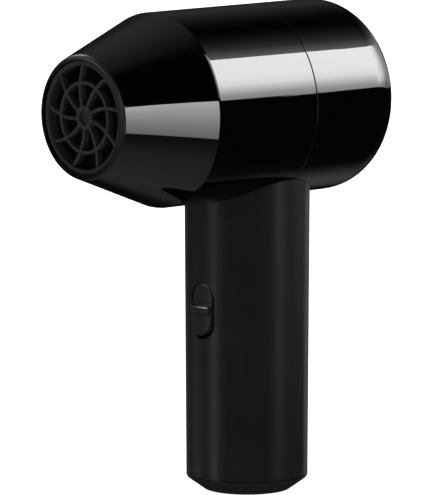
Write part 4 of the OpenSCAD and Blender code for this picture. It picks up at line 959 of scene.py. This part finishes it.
def makeHandleShell():
    h = handle
    foot, top, bore, (under, over) = h["footFrom"], h["topAt"], h["bore"], h["deck"]

    def outside(height):
        share = (height - foot) / (top - foot)
        return h["footRadius"] + (h["topRadius"] - h["footRadius"]) * share

    def onSaddleEdge(point):
        fromBarrel = math.hypot(point.x, point.z - axisHeight) - h["saddle"]
        fromSkin = math.hypot(point.x, point.y) - outside(point.z)
        return abs(fromBarrel) < onFace and abs(fromSkin) < onFace

    profile = [(h["footRadius"] - h["edge"], foot), (outside(foot + h["edge"]), foot + h["edge"])]
    profile += [(outside(z), z) for z in (*h["outerSteps"], top)]
    profile += [(bore, top), (bore, over), (pinhole, over), (pinhole, under)]
    profile += [(bore, z) for z in (under, *h["innerSteps"], foot)]
    shell = turnOnLathe("handleShell", profile + profile[:1], upright=True)
    bosses = []
    low, high = h["bossReach"]
    for side in (-1, 1):
        y = side * h["bossAt"]
        bosses.append(post("boss", h["boss"], 0, y, (low, high)))
        near, far = sorted((y, side * (bore + h["webBite"])))
        bosses.append(block("web", at(-h["web"] / 2, near, low), at(h["web"] / 2, far, high)))
    combine(shell, bosses, "UNION")
    start, end = (at(0, side * h["saddleReach"], axisHeight) for side in (-1, 1))
    combine(shell, [rod("saddle", h["saddle"], start, end, 384)], "DIFFERENCE")
    bevelEdges(shell, h["saddleEdge"], lambda a, b: onSaddleEdge(a) and onSaddleEdge(b))
    holes = [post("hole", neck["screwHole"], x, y, neck["deckReach"], 32)
             for x in neck["across"] for y in neck["along"]]
    holes.append(post("hole", neck["wireHole"], 0, neck["wireAt"], neck["deckReach"]))
    holes += [post("hole", h["pilot"], 0, side * h["bossAt"], h["pilotReach"], 32)
              for side in (-1, 1)]
    start, end = (at(0, y, h["openingHeight"]) for y in h["openingReach"])
    holes.append(stadiumBar("opening", *h["opening"], start, end, Vector((0, 0, 1))))
    combine(shell, holes, "DIFFERENCE")
    finishPiece(shell, "casing", "satin_black_handle", ["handle_shell"])


cap = {
    "flat": 14.7, "flatEdge": 0.8, "bevelLean": -54.66, "cornerAt": (19.4, 5.175), "corner": 1.5,
    "side": 20.9, "split": 5.2, "top": 11.2, "floor": 2.2, "floorRadius": 13.3, "hollowFrom": 4.4,
    "spigot": 19.15, "spigotWall": 1.8, "spigotEdge": 0.4,
    "screws": (-11, 11), "screwPost": 3.2, "postFrom": 1.5,
    "screwHole": 1.4, "holeReach": (-1, 12.2), "screwHead": 2.5, "headReach": (-1, 2.3),
    "pins": [(x, y) for x in (-10.5, 10.5) for y in (-5.6, 5.6)],  # for the charging board
    "pinPost": 1.5, "pinPostTop": 9.4, "pin": 0.85, "pinReach": (8.5, 11.1),
    "light": 1.15, "lightAt": (8.2, 3.6), "socket": (3.56, 9.24), "socketAt": 3.6,
    "floorReach": (-1, 3.2),
}


def makeBaseCap():
    c = cap
    e, chamfer, inside = c["flatEdge"], c["spigotEdge"], c["spigot"] - c["spigotWall"]
    lean = e * math.tan(math.radians(90 + c["bevelLean"]) / 2)
    profile = [(pinhole, 0)]
    profile += corner(c["flat"] - lean, e, e, -90, c["bevelLean"], 5)
    profile += corner(*c["cornerAt"], c["corner"], c["bevelLean"], 0, 10)
    profile += [(c["side"], c["split"]), (c["spigot"], c["split"]),
                (c["spigot"], c["top"] - chamfer), (c["spigot"] - chamfer, c["top"]),
                (inside, c["top"]), (inside, c["hollowFrom"]), (c["floorRadius"], c["hollowFrom"]),
                (c["floorRadius"], c["floor"]), (pinhole, c["floor"])]
    foot = turnOnLathe("baseCap", profile, upright=True)
    posts = [post("post", c["screwPost"], 0, y, (c["postFrom"], c["top"])) for y in c["screws"]]
    for x, y in c["pins"]:
        posts.append(post("post", c["pinPost"], x, y, (c["postFrom"], c["pinPostTop"]), 32))
        posts.append(post("pin", c["pin"], x, y, c["pinReach"], 32))
    combine(foot, posts, "UNION")
    cuts = [post("cut", c["screwHole"], 0, y, c["holeReach"], 32) for y in c["screws"]]
    cuts += [post("cut", c["screwHead"], 0, y, c["headReach"]) for y in c["screws"]]
    cuts.append(post("cut", c["light"], *c["lightAt"], c["floorReach"], 32))
    start, end = (at(0, c["socketAt"], z) for z in c["floorReach"])
    cuts.append(stadiumBar("cut", *c["socket"], start, end, Vector((1, 0, 0))))
    combine(foot, cuts, "DIFFERENCE")
    finishPiece(foot, "casing", "satin_black_handle", ["base_cap"])


# rocker

rocker = {
    "width": 9.7, "height": 17.7, "skin": 21.83, "plate": -19.36, "edge": 0.35,
    "ridgeWidth": 9.1, "ridgeHeight": 3.2, "ridgeSkin": 23.03,
    "ridgeRound": 1.15, "ridgeEdge": 0.25,
    "sunk": 0.4,  # how far the other parts reach into the button's plate
    "pivot": -16.505, "centre": 63.5, "tilt": -6.5,
    "skirt": (8.4, 13.2), "skirtBack": -14.605, "wall": 1.2, "openBack": 3,
    "trunnion": 0.9, "trunnionTip": 5.9, "trunnionBite": 0.3,
    "tube": 2.0, "tubeBack": -13.43, "tubeBore": 1.25, "springSeat": -18.76, "boreEnd": -12,
}


def wrapRound(piece, radius, reach, step=0.5, skinDepth=1.3):
    # cuts the piece into upright strips and curves its front to a radius about the handle's axis
    selectOnly(piece)
    bpy.ops.object.mode_set(mode="EDIT")
    cuts = int(reach / step)
    for k in range(-cuts, cuts + 1):
        bpy.ops.mesh.select_all(action="SELECT")
        bpy.ops.mesh.bisect(plane_co=at(k * step, 0, 0), plane_no=(1, 0, 0))
    stopEditing()
    for point in piece.data.vertices:
        if point.co.y < (skinDepth - radius) * mm:
            point.co.y += radius * mm - math.sqrt((radius * mm) ** 2 - point.co.x ** 2)


def makeRocker():
    r = rocker
    z, plate, sunk = r["centre"], r["plate"], r["sunk"]
    button = stadiumBar("rockerButton", r["width"], r["height"], at(0, -r["skin"], z),
                        at(0, plate, z), Vector((0, 0, 1)))
    bevelEdges(button, r["edge"], lambda a, b: max(a.y, b.y) < onFace - r["skin"], 4)
    wrapRound(button, r["skin"], r["width"] / 2)
    # the thumb ridge: a bar across the button with a rounded crest
    wide, tall = r["ridgeWidth"] / 2, r["ridgeHeight"] / 2
    ridge = block("ridge", at(-wide, -r["ridgeSkin"], z - tall), at(wide, plate - sunk, z + tall))
    bevelEdges(ridge, r["ridgeRound"], lambda a, b: abs(a.z - b.z) < onFace
               and max(a.y, b.y) < onFace - r["ridgeSkin"], 8)
    softenEdges(ridge, r["ridgeEdge"], 50)
    wrapRound(ridge, r["ridgeSkin"], wide)
    # behind the plate: a hollow skirt, the trunnions and the spring's tube
    wide, tall, wall = r["skirt"][0] / 2, r["skirt"][1] / 2, r["wall"]
    skirt = block("skirt", at(-wide, plate - sunk, z - tall), at(wide, r["skirtBack"], z + tall))
    hollow = block("hollow", at(wall - wide, plate - sunk / 2, z - tall + wall),
                   at(wide - wall, r["skirtBack"] + r["openBack"], z + tall - wall))
    combine(skirt, [hollow], "DIFFERENCE")
    root, tip = wide - r["trunnionBite"], r["trunnionTip"]
    trunnions = [rod("trunnion", r["trunnion"], at(side * root, r["pivot"], z),
                     at(side * tip, r["pivot"], z), 32) for side in (-1, 1)]
    tube = rod("tube", r["tube"], at(0, plate - sunk * 0.75, z), at(0, r["tubeBack"], z))
    combine(button, [ridge, skirt, tube] + trunnions, "UNION")
    bore = rod("bore", r["tubeBore"], at(0, r["springSeat"], z), at(0, r["boreEnd"], z), 32)
    combine(button, [bore], "DIFFERENCE")
    turnAbout(button, at(0, r["pivot"], z), r["tilt"], "X")
    finishPiece(button, "rocker", "satin_black_switch", ["rocker_button"], 35)


makeFrontHousing()
makeRearHousing()
makeOutletGrille()
makeIntakeGrille()
makeHandleShell()
makeBaseCap()
makeRocker()
